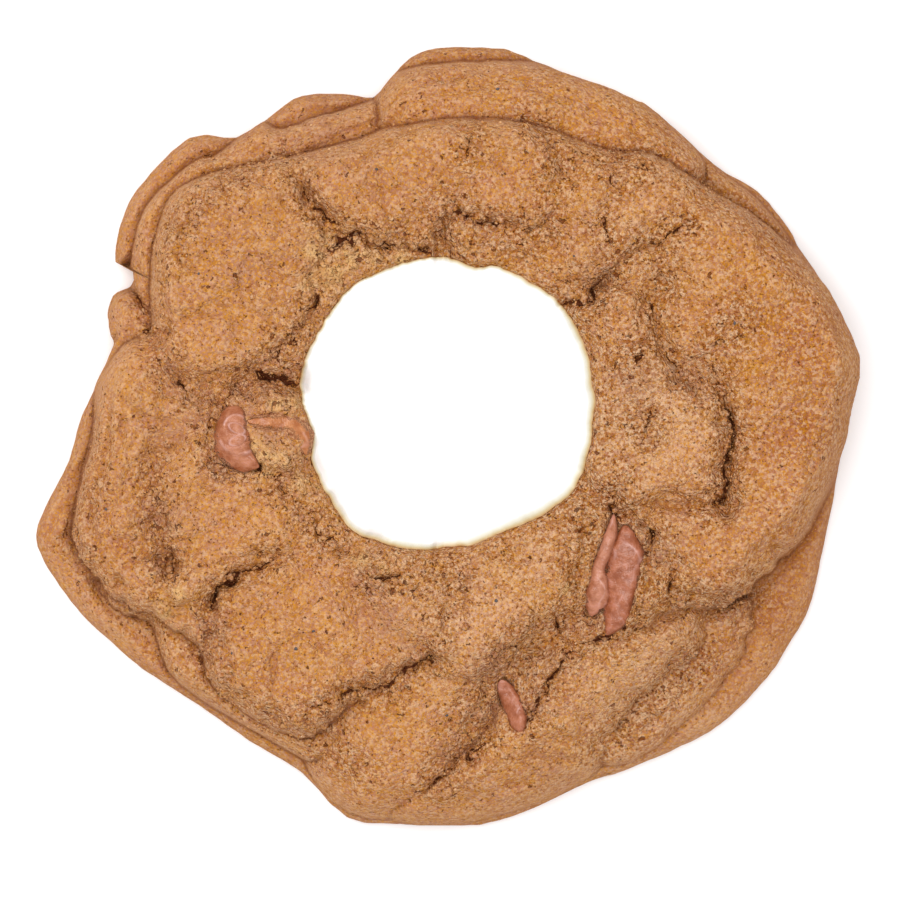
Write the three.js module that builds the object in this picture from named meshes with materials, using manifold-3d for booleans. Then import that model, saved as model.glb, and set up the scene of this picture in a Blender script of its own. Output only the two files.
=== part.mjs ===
// A thick gingerbread cookie, dropped and baked as one craggy lump of folded dough, with a pool of
// white icing set in a well on its top and melted chips showing in its folds.
// Millimetres, +Z up. The origin is the middle of the cookie's length and width, on its flat base.
// +X is the cookie's longest side; +Y is the side where the dough folds over at the top left.
import * as THREE from "three";
import Module from "manifold-3d";

const wasm = await Module();
wasm.setup();

// Driving dimensions, in millimetres.
const CROWN_HEIGHT = 20.4; // the crown of folded dough over the tray, before its swells
const SPREAD_HEIGHT = 6.5; // thickness of the skirt that ran out round the crown
const BODY_FLOOR = 1; // layers start this far up inside the skirt, so only the skirt has a base
const WELL_FLOOR = 11.5; // bottom of the well that holds the icing
const WELL_SLUMP = 2.4; // how far the dough sinks towards the rim of the well
const WELL_SLUMP_REACH = 3.5; // distance over which that sinking fades
const ICING_RIM = 17.4; // height of the icing where it meets the dough
const ICING_DOME = 2.6; // how much higher the middle of the icing stands
const ICING_ROLL = 2.2; // radius of the icing's rounded shoulder
const FIT_GAP = 0.3; // clearance round every piece that is set in the dough
const CHIP_DEPTH = 3; // how deep a chip sits below its own back
const CRACK_LIFT = 4; // how far a crack's wedge reaches over the dough before it is cut
const OVER_ALL = CROWN_HEIGHT + 12; // a height clear over the cookie, for cuts that are open above

// How finely the skins are divided.
const POINT_SPACING = 4; // distance between the points round a layer's widest edge
const CROWN_SPACING = 2.9; // the same round the crown
const CROWN_RINGS = 11; // rings of points over the crown between its shoulder and the well
const ICING_SPACING = 2.8; // the same round the icing
const CHIP_STATIONS = 9; // cross-sections along a chip
const DEEPEST_INSET = 0.85; // the most that a roll may draw a ring in towards the middle
const WELL_SHARE = 0.46; // how far out on the crown its inmost ring lies, just inside the well
const SHOULDER_STEPS = [0, 0.08, 0.3, 0.62, 1]; // shares of its roll at which a shoulder has a ring
const INNER_SHARES = [0.6, 0.25]; // how far out each ring of a lower layer's middle lies

// The layers of dough, from the lowest to the highest. Each is one pillow: top is the height of its
// middle, foot the height of its widest edge, roll the radius over which it rounds from that edge to
// its top, undercut how far it draws in below its widest edge, and lean the slope of its top along
// X and Y. Each outline runs clockwise from above.
const LAYERS = {
  spread: {
    top: SPREAD_HEIGHT, foot: 1.8, roll: 4.5, undercut: 1, lean: [0, 0], floor: 0,
    outline: [
      [-7.7, 48.2], [-5, 51.2], [-0.9, 52.5], [7.8, 52.4], [15.9, 48.6], [22.3, 46.3], [28.8, 42.9],
      [36.2, 36.7], [42, 33.2], [46.3, 28.1], [47.8, 25.1], [50.6, 20.4], [52.7, 11.6], [52.8, 3.5],
      [52.7, -5.8], [51.2, -13.9], [49.5, -22.1], [46.4, -28.2], [40.6, -36], [33.3, -41.4],
      [24.4, -45.2], [19.7, -46.6], [12, -50.4], [4.3, -52.7], [-6.1, -52.5], [-13.5, -51.7],
      [-19.7, -45.6], [-26.6, -41.4], [-33.2, -36.7], [-41, -31.7], [-45.6, -27.8], [-51, -22.4],
      [-55.5, -15], [-54.9, -10.7], [-51.2, -3.4], [-49.5, 2.8], [-45, 12.3], [-46, 16.3],
      [-45, 19.3], [-42.4, 20.7], [-42.4, 22.7], [-44.8, 23], [-44.1, 28.9], [-42.1, 33.2],
      [-35, 40.5], [-28.6, 40.5], [-22.8, 44], [-19.6, 46], [-13.8, 46.4], [-10, 45.9],
    ],
  },
  left_knob: {
    top: 10, foot: 4, roll: 2.6, undercut: 1, lean: [0.2, 0],
    outline: [[-45.8, 16.3], [-44.5, 19.4], [-41.4, 19.2], [-39.8, 15.4], [-41.4, 12.2], [-44.9, 12.6]],
  },
  step_top_left: {
    top: 12.5, foot: 8, roll: 3.5, undercut: 1.5, lean: [0.05, -0.05],
    outline: [
      [-40.1, 15.7], [-42.3, 22.4], [-40.6, 30.5], [-34.7, 36.6], [-31.3, 37.8], [-27.9, 40],
      [-25, 41.9], [-21.9, 41.3], [-14.4, 43.7], [-8.4, 44.8], [-5, 40], [-19.8, 23.8], [-32, 15.7],
    ],
  },
  step_left: {
    top: 11.5, foot: 6.5, roll: 4, undercut: 1.5, lean: [0.08, 0],
    outline: [
      [-43.1, 18.4], [-45, 12.3], [-46.8, 6.9], [-47.9, 0.8], [-50.1, -10.7], [-49.5, -17],
      [-45.2, -23], [-40.6, -25.1], [-38.6, -29], [-36, -33.3], [-25, -40.4], [-15.8, -44.4],
      [-10.4, -38.3], [-19.8, -19.4], [-30.6, -0.5], [-36, 14.3],
    ],
  },
  shelf_upper_right: {
    top: 12.5, foot: 6, roll: 4, undercut: 1, lean: [-0.1, -0.1],
    outline: [
      [25, 45.1], [29.8, 42.2], [37.7, 35.2], [41.9, 32], [46, 27], [47.6, 22.7], [42.3, 18.4],
      [30.1, 26.5], [22, 37.3],
    ],
  },
  shelf_lower_right: {
    top: 11.5, foot: 6, roll: 6, undercut: 0, lean: [-0.1, 0.1],
    outline: [
      [32.8, -20.8], [40.2, -21.6], [40.6, -28.9], [34.8, -36.3], [24.7, -44], [18.7, -41.7],
      [26.8, -26.9],
    ],
  },
  lobe_bottom: {
    top: 16.6, foot: 2.6, roll: 12, undercut: 0.6, lean: [0, 0.2],
    outline: [
      [-20.5, -38.4], [-17, -31], [-7, -24], [5, -21.5], [13, -24], [14, -30.5], [11, -37.5],
      [7, -43.5], [2.5, -49], [-2.2, -52.5], [-6.1, -52.1], [-13.2, -51.2], [-19, -45.4],
    ],
  },
  lobe_lower_right: {
    top: 16.8, foot: 3, roll: 11, undercut: 0.6, lean: [0.02, 0.18],
    outline: [
      [13, -20.5], [26.1, -20], [35, -20.4], [36, -28.8], [29.4, -34.6], [25, -39.4], [22.2, -43.2],
      [19.1, -46.3], [12, -49.9], [2.8, -52.4], [-6, -52.3], [-8.6, -50.6], [-6, -46], [-1.8, -41],
      [2.5, -35], [6.5, -28],
    ],
  },
  band_top: {
    top: 17.6, foot: 8.5, roll: 7, undercut: 2, lean: [-0.03, -0.16],
    outline: [
      [-9.3, 45.4], [-6.3, 48.6], [-0.9, 50.1], [9.9, 50.2], [19.3, 47.7], [25, 45.4], [31.5, 40.5],
      [34.8, 34.6], [26.1, 26.5], [9.9, 26.5], [-5, 30.5], [-10.1, 38.6],
    ],
  },
  crown: {
    top: CROWN_HEIGHT, foot: 10, roll: 7, undercut: 5, lean: [0.03, 0.02], floor: 3,
    outline: [
      [-40.1, 17.7], [-39.7, 25.1], [-37.4, 32.1], [-33.9, 34.7], [-27.5, 36.5], [-21.2, 37.7],
      [-11.7, 40.1], [-6.3, 42.5], [3.1, 43.5], [12.6, 42.4], [20.7, 39.8], [28.1, 38.5],
      [34.2, 34], [41.6, 29.4], [48.1, 23.5], [52, 18.4], [55.5, 10.5], [54.4, 3.5], [52.7, -3.2],
      [48.5, -12.4], [44.4, -17], [39.2, -21.6], [34.7, -23.4], [29, -25.4], [21.5, -30.4],
      [14, -34.5], [7, -37], [1.5, -35], [-4.2, -34.2], [-10, -36.4], [-15.5, -39.6], [-21.2, -40.4],
      [-27.9, -37], [-31.9, -32.9], [-33.9, -27.5], [-40.1, -24], [-45.8, -21.1], [-49.3, -16.1], [-49.3, -8.6],
      [-47.5, -0.5], [-46.6, 6.9], [-43.5, 12.3], [-40.1, 13.6],
    ],
  },
};

// Swells of the crown, where one fold of dough lies on the next: rise is how far each stands proud,
// roll how far in from its edge it takes to do so.
const SWELLS = {
  upper_left: {
    rise: 1.6, roll: 4,
    outline: [
      [-40.1, 18.4], [-39.7, 25.1], [-37.4, 32.1], [-33.9, 34.7], [-27.5, 36.5], [-20.5, 37.5],
      [-19, 32.5], [-15.4, 27.5], [-17.4, 22.4], [-17.4, 16.7], [-25, 8.5], [-30, 6.5],
      [-36.7, 8.6], [-39.6, 13.6],
    ],
  },
  top: {
    rise: 2.2, roll: 3,
    outline: [
      [-21.6, 37.1], [-11.7, 40.1], [-6.3, 42.5], [3.1, 43.2], [11.2, 41.6], [15.5, 34.6],
      [13.2, 28.1], [7.2, 27.3], [1.8, 29.2], [-3, 24], [-8.4, 25.7], [-14.4, 26.2], [-17.4, 30.2],
    ],
  },
  right: {
    rise: 1.8, roll: 6,
    outline: [
      [13.6, 32.9], [19.3, 36.7], [28.1, 38.5], [34.2, 34.9], [41.6, 30], [48.1, 24], [52.5, 18.4],
      [56, 10.5], [54.9, 3.5], [52.7, -4.2], [48.5, -12.4], [44.4, -17.5], [39.2, -22.5],
      [33, -22.5], [29.8, -18.5], [27.4, -13.4], [36, -10.6], [37.9, -0.8], [36.5, 6.2],
      [32.8, 11.6], [28.2, 19.7], [19.3, 20], [14.2, 26.5],
    ],
  },
  mid_right: {
    rise: 2, roll: 3,
    outline: [
      [15.3, 17.6], [20.7, 19.7], [26.7, 19.7], [28.1, 13.6], [32.8, 9.2], [36, 6.9], [37.6, -0.3],
      [36.4, -8.6], [28.8, -9], [22.3, -10], [18, -4.6], [15.3, 4.9],
    ],
  },
  middle: {
    rise: 2, roll: 5.5,
    outline: [
      [-15.1, -16.7], [-6.3, -13], [4.5, -12.7], [14.3, -6.6], [21.5, -9.3], [20.1, -16.7],
      [12.6, -24.8], [5.5, -33.5], [-2, -29.7], [-10.4, -24.2],
    ],
  },
  bottom_left: {
    rise: 1.4, roll: 5,
    outline: [
      [-32, -23.8], [-29, -19.7], [-23.2, -16.2], [-13.8, -15.1], [-6.3, -20.8], [-2.3, -29.6],
      [-6.1, -31.9], [-13.9, -34.8], [-19.8, -39.2], [-26.6, -37.3], [-31.7, -32.9],
    ],
  },
  lower_left: {
    rise: 1.2, roll: 4,
    outline: [
      [-38.7, -8.6], [-36, -3.2], [-30, -3], [-22.5, -6.2], [-16.1, -13.5], [-15.1, -16.7],
      [-23.6, -15.9], [-30.4, -21.1], [-35.4, -22.1], [-38.7, -16.7],
    ],
  },
  chip_lump: {
    rise: 2.2, roll: 4,
    outline: [
      [-31.5, 0.5], [-29.6, 5.5], [-25, 7.4], [-19.2, 6.2], [-17.4, 0.8], [-18.2, -4.1],
      [-21.9, -6.2], [-27.9, -4.6],
    ],
  },
};

// Small lumps of dough down the left side: the middle, the radius and the height of each.
const LUMPS = [
  [-44.1, 8.2, 2.6, 1], [-40.1, 9.6, 2.4, 1.2], [-42.1, 4.2, 2.8, 1.2], [-36.7, 3.5, 2.6, 1],
  [-40.8, -0.9, 2.4, 0.9], [-34, 0.2, 2.2, 1], [-44.1, -5.9, 3, 1.2], [-42.8, -12.7, 3, 1],
  [-45.2, -17, 2.6, 0.8], [-40.1, -18.8, 2.6, 0.9], [-36.2, -27.5, 2.4, 1.4],
];

// Valleys between the folds: how wide each is, and the points of its path with its depth there.
const VALLEYS = {
  below_middle: {
    width: 3.2,
    path: [[23, -19.6, 1.2], [20.4, -22.6, 2.6], [16.6, -25.5, 4], [11.2, -29.6, 5], [7.2, -35, 5]],
  },
  beside_top: { width: 1.5, path: [[-20.4, 37.3, 0.6], [-19, 31.9, 1.2], [-14.9, 28.1, 1.6]] },
  upper_right: {
    width: 2.2,
    path: [[31.6, 29.5, 1], [28.1, 24.4, 2.4], [23.4, 21.7, 1.8], [19.3, 19.4, 1.6]],
  },
  mid_right: { width: 2, path: [[27.5, 19, 1.2], [28.1, 12.3, 1.5], [31.5, 7.8, 1.8], [33.6, 6.2, 1]] },
  beside_right: {
    width: 1.6,
    path: [[35.8, 9.6, 0.6], [37.1, 2.2, 1.2], [37.1, -4.6, 1.6], [36.3, -9.2, 2.4]],
  },
  above_toe: { width: 1.6, path: [[22.3, -9.3, 1.4], [28.8, -8.9, 1], [36.3, -9.5, 2.2]] },
  below_upper_left: {
    width: 2.4,
    path: [[-19.8, 6.9, 2], [-25.9, 7.6, 2.6], [-31.3, 6.2, 2.2], [-36, 6.9, 1.8], [-38.7, 10.9, 1.6],
      [-40.1, 15, 2]],
  },
  left: {
    width: 2.2,
    path: [[-36, 2.2, 0.8], [-39.4, -1.9, 1.4], [-38.7, -10, 1.8], [-37.1, -18.1, 2], [-36, -22.1, 2]],
  },
  above_bottom_left: { width: 1.5, path: [[-32.7, -24.2, 1.6], [-30, -20.5, 1.8], [-23.6, -15.8, 0.8]] },
  below_bottom_left: { width: 1.6, path: [[-13.9, -34.8, 1], [-6.1, -31.9, 1.3], [-2.3, -29.8, 1.6]] },
  beside_middle: {
    width: 2.8,
    path: [[-14.4, -16.7, 0.6], [-10.1, -22.8, 1.5], [-5.7, -27.5, 1.8], [-2.3, -29.8, 1.6]],
  },
  fold: { width: 1.2, path: [[-0.1, 28.8, 0.6], [-0.1, 24.4, 1.6]] },
};

// Slow bumps in the dough's skin: how fast each wave turns along X and Y, where it starts, and half
// its height.
const WAVES = [[0.41, 0.17, 1.3, 0.2], [0.23, -0.47, 0.4, 0.2], [0.71, 0.62, 2.1, 0.14], [-0.58, 0.83, 4.2, 0.14]];

// The outline of the icing, clockwise from above. The lump of dough with the chips dents its left side.
const ICING_OUTLINE = [
  [0, 23.9], [3.8, 22.3], [7.2, 22.5], [14.6, 18.1], [18.4, 12.3], [19.6, 5.5], [18.8, -2.6],
  [15.5, -8.6], [7.2, -13.1], [0.4, -15], [-7, -14.7], [-13.1, -12], [-18, -4.3], [-18, -0.3],
  [-19.7, 6.9], [-18.2, 12.3], [-13.8, 18.8], [-9, 21.9], [-3.6, 23.8],
];

// The melted chips that show, each a round-backed ridge along a path. Each point of a path has its
// place, the chip's half width there and how far its back stands over the dough there.
const CHIPS = {
  chip_left: [
    [-26.6, 4.4, 0.9, 0.3], [-28.4, 3, 1.9, 0.6], [-28.7, 0.4, 2.3, 0.7], [-27.4, -1.9, 1.7, 0.6],
    [-25.2, -3.6, 0.8, 0.3],
  ],
  chip_left_smear: [
    [-24.9, 1.4, 0.6, 0.1], [-22.6, 1.9, 0.9, 0.4], [-19.9, 1.6, 1, 0.4], [-18.7, 0, 0.9, 0.4],
    [-18.9, -1.6, 0.5, 0.1],
  ],
  chip_right_narrow: [
    [22.2, -10.9, 0.5, 0.1], [21.6, -14, 1, 0.6], [20.2, -17.6, 0.9, 0.7], [20.1, -20.9, 1.5, 0.9],
    [19.5, -23.6, 0.9, 0.4],
  ],
  chip_right_large: [
    [24.1, -11.6, 0.7, 0.2], [24.7, -14.6, 1.6, 0.9], [24.5, -18.6, 1.9, 1], [23.8, -22.6, 1.8, 0.9],
    [22.1, -25.9, 1, 0.4],
  ],
  chip_lower: [
    [7.2, -32.9, 0.7, 0.3], [8.2, -34.8, 1.3, 0.9], [9.1, -37, 1.4, 0.9], [9.8, -38.9, 0.8, 0.4],
  ],
};

// Across a chip's back, from side to side: the place and the fall from its highest line there, both
// as shares of the chip's half width.
const CHIP_BACK = [[-1, 0.65], [-0.8, 0.25], [-0.3, 0.03], [0.3, 0.03], [0.8, 0.25], [1, 0.65]];

// Cracks: each point of a path has its place, the crack's half width there, and its depth there.
const CRACKS = [
  [[35.5, 9.2, 0.2, 1], [36.6, 5.5, 0.4, 3.5], [37.9, 0.8, 0.5, 4], [37.2, -3.2, 0.5, 4],
    [36.9, -6.8, 0.4, 3.5], [36, -9.2, 0.9, 3.5], [34, -9.4, 0.2, 1]],
  [[27.3, 17.5, 0.2, 1], [28.1, 15, 0.4, 2.5], [28.1, 12.4, 0.4, 2.5], [30.9, 8.4, 0.2, 1]],
  [[-19.4, 32.4, 0.2, 1], [-17.5, 30, 0.4, 2.5], [-15, 28.2, 0.4, 2]],
  [[-22.1, -6.2, 0.3, 1.5], [-20.1, -8.8, 0.7, 3.5], [-18.1, -11.2, 0.8, 3.5], [-15.9, -13.6, 0.3, 1.5]],
  [[-31.6, -23, 0.3, 1.5], [-30.5, -20.8, 0.7, 3.5], [-28.6, -19.5, 0.7, 3.5],
    [-26, -17.9, 0.3, 2], [-23.6, -15.8, 0.2, 1]],
  [[-10.2, -18.9, 0.2, 1], [-8.1, -19.2, 0.4, 2.5], [-6, -18.6, 0.2, 1]],
  [[-17.3, -36.3, 0.2, 1], [-10.8, -33.9, 0.4, 2.5], [-8.4, -33.6, 0.3, 1.5],
    [-6.1, -31.7, 0.3, 1.5], [-2.3, -29.8, 0.4, 2.5]],
  [[24.6, -24.8, 0.3, 2], [21.3, -27.3, 0.5, 4], [16.6, -28.7, 0.7, 4], [14.8, -31, 0.4, 3],
    [13.6, -34, 0.4, 3], [10.8, -38.6, 0.3, 1.5]],
  [[5.4, -40.6, 0.3, 2], [2.7, -42.4, 0.6, 3], [0.4, -44.8, 0.6, 3], [-1.5, -46.8, 0.2, 1]],
  [[1.6, 29.4, 0.2, 1], [7.4, 27.3, 0.4, 2.5], [11.2, 27.5, 0.4, 2.5], [13.9, 28.5, 0.2, 1]],
  [[28.6, 25.4, 0.2, 1], [30.2, 27.2, 0.4, 2.5], [31.6, 28.1, 0.2, 1]],
  [[-29, 6.4, 0.3, 1.5], [-26.5, 7.9, 0.8, 3], [-22, 7.4, 0.8, 3], [-19.7, 7, 0.3, 1.5]],
  [[15.6, 18, 0.3, 1], [19.3, 18.6, 0.5, 2.5], [20.4, 20.6, 0.2, 1]],
];

// The evenly spaced points of a smooth closed curve through an outline, anticlockwise from above,
// with the direction straight out of the curve at each point.
function closedCurve(outline, spacing) {
  const corners = outline.map(([x, y]) => new THREE.Vector3(x, y, 0)).reverse();
  const curve = new THREE.CatmullRomCurve3(corners, true, "catmullrom", 0.5);
  const sides = Math.round(curve.getLength() / spacing);
  const points = curve.getSpacedPoints(sides).slice(0, sides);
  return points.map((point, i) => {
    const along = points[(i + 1) % sides].clone().sub(points[(i + sides - 1) % sides]).normalize();
    return { x: point.x, y: point.y, outX: along.y, outY: -along.x };
  });
}

// How far a place lies inside a closed curve; outside it the distance is negative.
function insideDistance(curve, x, y) {
  let nearest = Infinity;
  let inside = false;
  curve.forEach((a, i) => {
    const b = curve[(i + 1) % curve.length];
    const edgeX = b.x - a.x;
    const edgeY = b.y - a.y;
    const along = ((x - a.x) * edgeX + (y - a.y) * edgeY) / (edgeX * edgeX + edgeY * edgeY);
    const t = Math.min(1, Math.max(0, along));
    nearest = Math.min(nearest, Math.hypot(x - a.x - t * edgeX, y - a.y - t * edgeY));
    if (a.y > y !== b.y > y && x < a.x + ((y - a.y) / edgeY) * edgeX) inside = !inside;
  });
  return inside ? nearest : -nearest;
}

// A quarter circle: 0 at the widest edge of a pillow, 1 once the roll has turned flat.
function quarterRound(share) {
  const rest = 1 - Math.min(1, Math.max(0, share));
  return Math.sqrt(1 - rest * rest);
}

// Slow bumps over the whole cookie, the sum of waves that never line up.
function uneven(x, y) {
  return WAVES.reduce((sum, [alongX, alongY, start, size]) =>
    sum + size * Math.sin(alongX * x + alongY * y + start), 0);
}

// The nearest point of a path to a place: how far it is, and the path's third number there.
function nearestOnPath(path, x, y) {
  let nearest = Infinity;
  let value = 0;
  for (let i = 0; i < path.length - 1; i++) {
    const [ax, ay, from] = path[i];
    const [bx, by, to] = path[i + 1];
    const along = ((x - ax) * (bx - ax) + (y - ay) * (by - ay)) / ((bx - ax) ** 2 + (by - ay) ** 2);
    const t = Math.min(1, Math.max(0, along));
    const away = Math.hypot(x - ax - t * (bx - ax), y - ay - t * (by - ay));
    if (away < nearest) {
      nearest = away;
      value = from + t * (to - from);
    }
  }
  return { nearest, value };
}

// The relief of the crown's skin: its swells and lumps, less its valleys and its sinking to the well.
function crownRelief(x, y) {
  const swells = Object.values(swellCurves).map(({ curve, rise, roll }) =>
    rise * quarterRound(insideDistance(curve, x, y) / roll));
  const lumps = LUMPS.map(([atX, atY, radius, height]) =>
    height * Math.exp(-((x - atX) ** 2 + (y - atY) ** 2) / radius ** 2));
  const valleys = Object.values(VALLEYS).map(({ width, path }) => {
    const { nearest, value } = nearestOnPath(path, x, y);
    return value * Math.exp(-((nearest / width) ** 2));
  });
  const fromWell = Math.max(0, -insideDistance(icingCurve, x, y));
  const total = (list) => list.reduce((sum, value) => sum + value, 0);
  const sunk = WELL_SLUMP * Math.exp(-fromWell / WELL_SLUMP_REACH);
  return total(swells) + total(lumps) - total(valleys) - sunk;
}

// The height that a layer's middle reaches over a point. Lower layers are as much smoother.
function layerTop(layer, x, y) {
  const slope = layer.lean[0] * (x - layer.middle.x) + layer.lean[1] * (y - layer.middle.y);
  const relief = layer === layers.crown ? crownRelief(x, y) : 0;
  return layer.top + slope + relief + (layer.top / CROWN_HEIGHT) * uneven(x, y);
}

// The height of the dough over a point, before anything is cut into it.
function doughHeight(x, y) {
  return Math.max(
    ...Object.values(layers).map((layer) => {
      const inset = insideDistance(layer.curve, x, y);
      if (inset <= 0) return 0;
      return layer.foot + (layerTop(layer, x, y) - layer.foot) * quarterRound(inset / layer.roll);
    }),
  );
}

// A solid from points and triangles, with the triangles turned round where they face inwards.
function solidFrom(points, faces) {
  const make = (triangles) =>
    new wasm.Manifold(
      new wasm.Mesh({
        numProp: 3,
        vertProperties: new Float32Array(points.flat()),
        triVerts: new Uint32Array(triangles),
      }),
    );
  const solid = make(faces);
  return solid.volume() > 0 ? solid : make(faces.toReversed());
}

// One closed body from rings of equal length, lowest first, with a point under and a point on top.
function ringBody(rings, lowPoint, highPoint) {
  const sides = rings[0].length;
  const vertices = [...rings.flat(), lowPoint, highPoint];
  const low = vertices.length - 2;
  const high = vertices.length - 1;
  const faces = [];
  for (let i = 0; i < sides; i++) {
    const next = (i + 1) % sides;
    const last = (rings.length - 1) * sides;
    faces.push(low, next, i, high, last + i, last + next);
    for (let ring = 0; ring < rings.length - 1; ring++) {
      const a = ring * sides;
      const b = a + sides;
      faces.push(a + i, a + next, b + next, a + i, b + next, b + i);
    }
  }
  return solidFrom(vertices, faces);
}

// One closed body swept along a path: a ring of points for each section, and a fan over each end.
function sweptBody(sections) {
  const count = sections[0].length;
  const last = count * (sections.length - 1);
  const faces = [];
  for (let side = 1; side < count - 1; side++) {
    faces.push(0, side, side + 1, last, last + side + 1, last + side);
  }
  for (let start = 0; start < last; start += count) {
    for (let side = 0; side < count; side++) {
      const a = start + side;
      const b = start + ((side + 1) % count);
      faces.push(a, a + count, b, b, a + count, b + count);
    }
  }
  return solidFrom(sections.flat(), faces);
}

// A pillow of dough or icing. From its floor it widens by its undercut up to its foot, rounds over
// its roll to its top, and closes over the middle. Grow pushes its outline outwards.
function pillow(shape, topAt, grow = 0) {
  const { curve, middle, floor, foot, roll, undercut, innerShares = INNER_SHARES } = shape;
  const widest = curve.map((p) => ({ ...p, x: p.x + p.outX * grow, y: p.y + p.outY * grow }));
  const reach = widest.map((p) => Math.max(1, (p.x - middle.x) * p.outX + (p.y - middle.y) * p.outY));
  const ringAt = (shares, heightAt) =>
    widest.map((p, i) => {
      const x = middle.x + (p.x - middle.x) * shares[i];
      const y = middle.y + (p.y - middle.y) * shares[i];
      return [x, y, heightAt(x, y)];
    });
  const inFrom = (inset) => reach.map((far) => 1 - Math.min(DEEPEST_INSET, inset / far));
  const rings = [ringAt(inFrom(undercut), () => floor)];
  SHOULDER_STEPS.forEach((step) => {
    const rise = quarterRound(step);
    rings.push(ringAt(inFrom(step * roll), (x, y) => foot + (topAt(x, y) - foot) * rise));
  });
  const shoulder = inFrom(roll);
  innerShares.forEach((share) => rings.push(ringAt(shoulder.map((from) => from * share), topAt)));
  return ringBody(rings, [middle.x, middle.y, floor], [middle.x, middle.y, topAt(middle.x, middle.y)]);
}

// The direction square to a path at one of its points, to the left of its way along.
function leftOf(path, i) {
  const before = path[Math.max(0, i - 1)];
  const after = path[Math.min(path.length - 1, i + 1)];
  const length = Math.hypot(after[0] - before[0], after[1] - before[1]);
  return [-(after[1] - before[1]) / length, (after[0] - before[0]) / length];
}

// The wedge that a crack takes out of the dough: wide at the top, an edge at the bottom.
function crackWedge(path) {
  const sections = path.map(([x, y, halfWidth, depth], i) => {
    const [leftX, leftY] = leftOf(path, i);
    const skin = doughHeight(x, y);
    const mouth = (halfWidth * (depth + CRACK_LIFT)) / depth;
    return [
      [x + leftX * mouth, y + leftY * mouth, skin + CRACK_LIFT],
      [x, y, skin - depth],
      [x - leftX * mouth, y - leftY * mouth, skin + CRACK_LIFT],
    ];
  });
  return sweptBody(sections);
}

// The stations of a chip: its path by a smooth curve, with its half width and the height of its back.
function chipStations(path) {
  const places = new THREE.CatmullRomCurve3(
    path.map(([x, y, , proud]) => new THREE.Vector3(x, y, doughHeight(x, y) + proud)),
  );
  const widths = new THREE.CatmullRomCurve3(path.map(([, , halfWidth]) => new THREE.Vector3(halfWidth, 0, 0)));
  return Array.from({ length: CHIP_STATIONS }, (_, i) => {
    const place = places.getPoint(i / (CHIP_STATIONS - 1));
    return [place.x, place.y, widths.getPoint(i / (CHIP_STATIONS - 1)).x, place.z];
  });
}

// A melted chip: a round back over straight sides and a flat base, swept along its path.
function chipBody(path) {
  const stations = chipStations(path);
  return sweptBody(
    stations.map(([x, y, halfWidth, top], i) => {
      const [leftX, leftY] = leftOf(stations, i);
      const at = (across, height) => [
        x + leftX * halfWidth * across,
        y + leftY * halfWidth * across,
        top - CHIP_DEPTH + height,
      ];
      const back = CHIP_BACK.map(([across, fall]) => at(across, CHIP_DEPTH - halfWidth * fall));
      return [at(-1, 0), ...back, at(1, 0)];
    }),
  );
}

// The seat of a chip: its path with the gap all round, open to above.
function chipSeat(path) {
  const stations = chipStations(path);
  const [first, second] = stations;
  const [nextToLast, last] = stations.slice(-2);
  const beyond = (from, to) => {
    const share = 1 + FIT_GAP / Math.hypot(to[0] - from[0], to[1] - from[1]);
    return [from[0] + (to[0] - from[0]) * share, from[1] + (to[1] - from[1]) * share, to[2], to[3]];
  };
  const longer = [beyond(second, first), ...stations.slice(1, -1), beyond(nextToLast, last)];
  return sweptBody(
    longer.map(([x, y, halfWidth, top], i) => {
      const [leftX, leftY] = leftOf(longer, i);
      const reach = halfWidth + FIT_GAP;
      const base = top - CHIP_DEPTH - FIT_GAP;
      const at = (across, height) => [x + leftX * reach * across, y + leftY * reach * across, height];
      return [at(-1, base), at(-1, OVER_ALL), at(1, OVER_ALL), at(1, base)];
    }),
  );
}

// A shape with its curve and the middle of that curve, worked out from its outline.
function shaped(shape, spacing = POINT_SPACING) {
  const curve = closedCurve(shape.outline, spacing);
  const mean = (key) => curve.reduce((sum, p) => sum + p[key], 0) / curve.length;
  return { floor: BODY_FLOOR, ...shape, curve, middle: { x: mean("x"), y: mean("y") } };
}

function meshOf(name, solid, material) {
  const { vertProperties, triVerts } = solid.getMesh();
  const geometry = new THREE.BufferGeometry();
  geometry.setAttribute("position", new THREE.BufferAttribute(vertProperties, 3));
  geometry.setIndex(new THREE.BufferAttribute(triVerts, 1));
  geometry.computeVertexNormals();
  const mesh = new THREE.Mesh(geometry, material);
  mesh.name = name;
  return mesh;
}

const layers = Object.fromEntries(Object.entries(LAYERS).map(([name, layer]) => [name, shaped(layer)]));
layers.crown = shaped(LAYERS.crown, CROWN_SPACING);
layers.crown.innerShares = Array.from(
  { length: CROWN_RINGS },
  (_, i) => 1 - ((i + 1) / CROWN_RINGS) * (1 - WELL_SHARE),
);
const swellCurves = Object.fromEntries(
  Object.entries(SWELLS).map(([name, swell]) => [name, shaped(swell, CROWN_SPACING)]),
);

// The icing: poured into the well, level at its rim and crowned in the middle.
const icing = shaped({
  outline: ICING_OUTLINE,
  floor: WELL_FLOOR + FIT_GAP,
  foot: ICING_RIM - ICING_ROLL,
  roll: ICING_ROLL,
  undercut: 0,
}, ICING_SPACING);
const icingCurve = icing.curve;
const icingReach = Math.max(...icingCurve.map((p) => Math.hypot(p.x - icing.middle.x, p.y - icing.middle.y)));
const icingTop = (x, y) => {
  const away = Math.hypot(x - icing.middle.x, y - icing.middle.y) / icingReach;
  return ICING_RIM + ICING_DOME * (1 - away * away);
};

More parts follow.
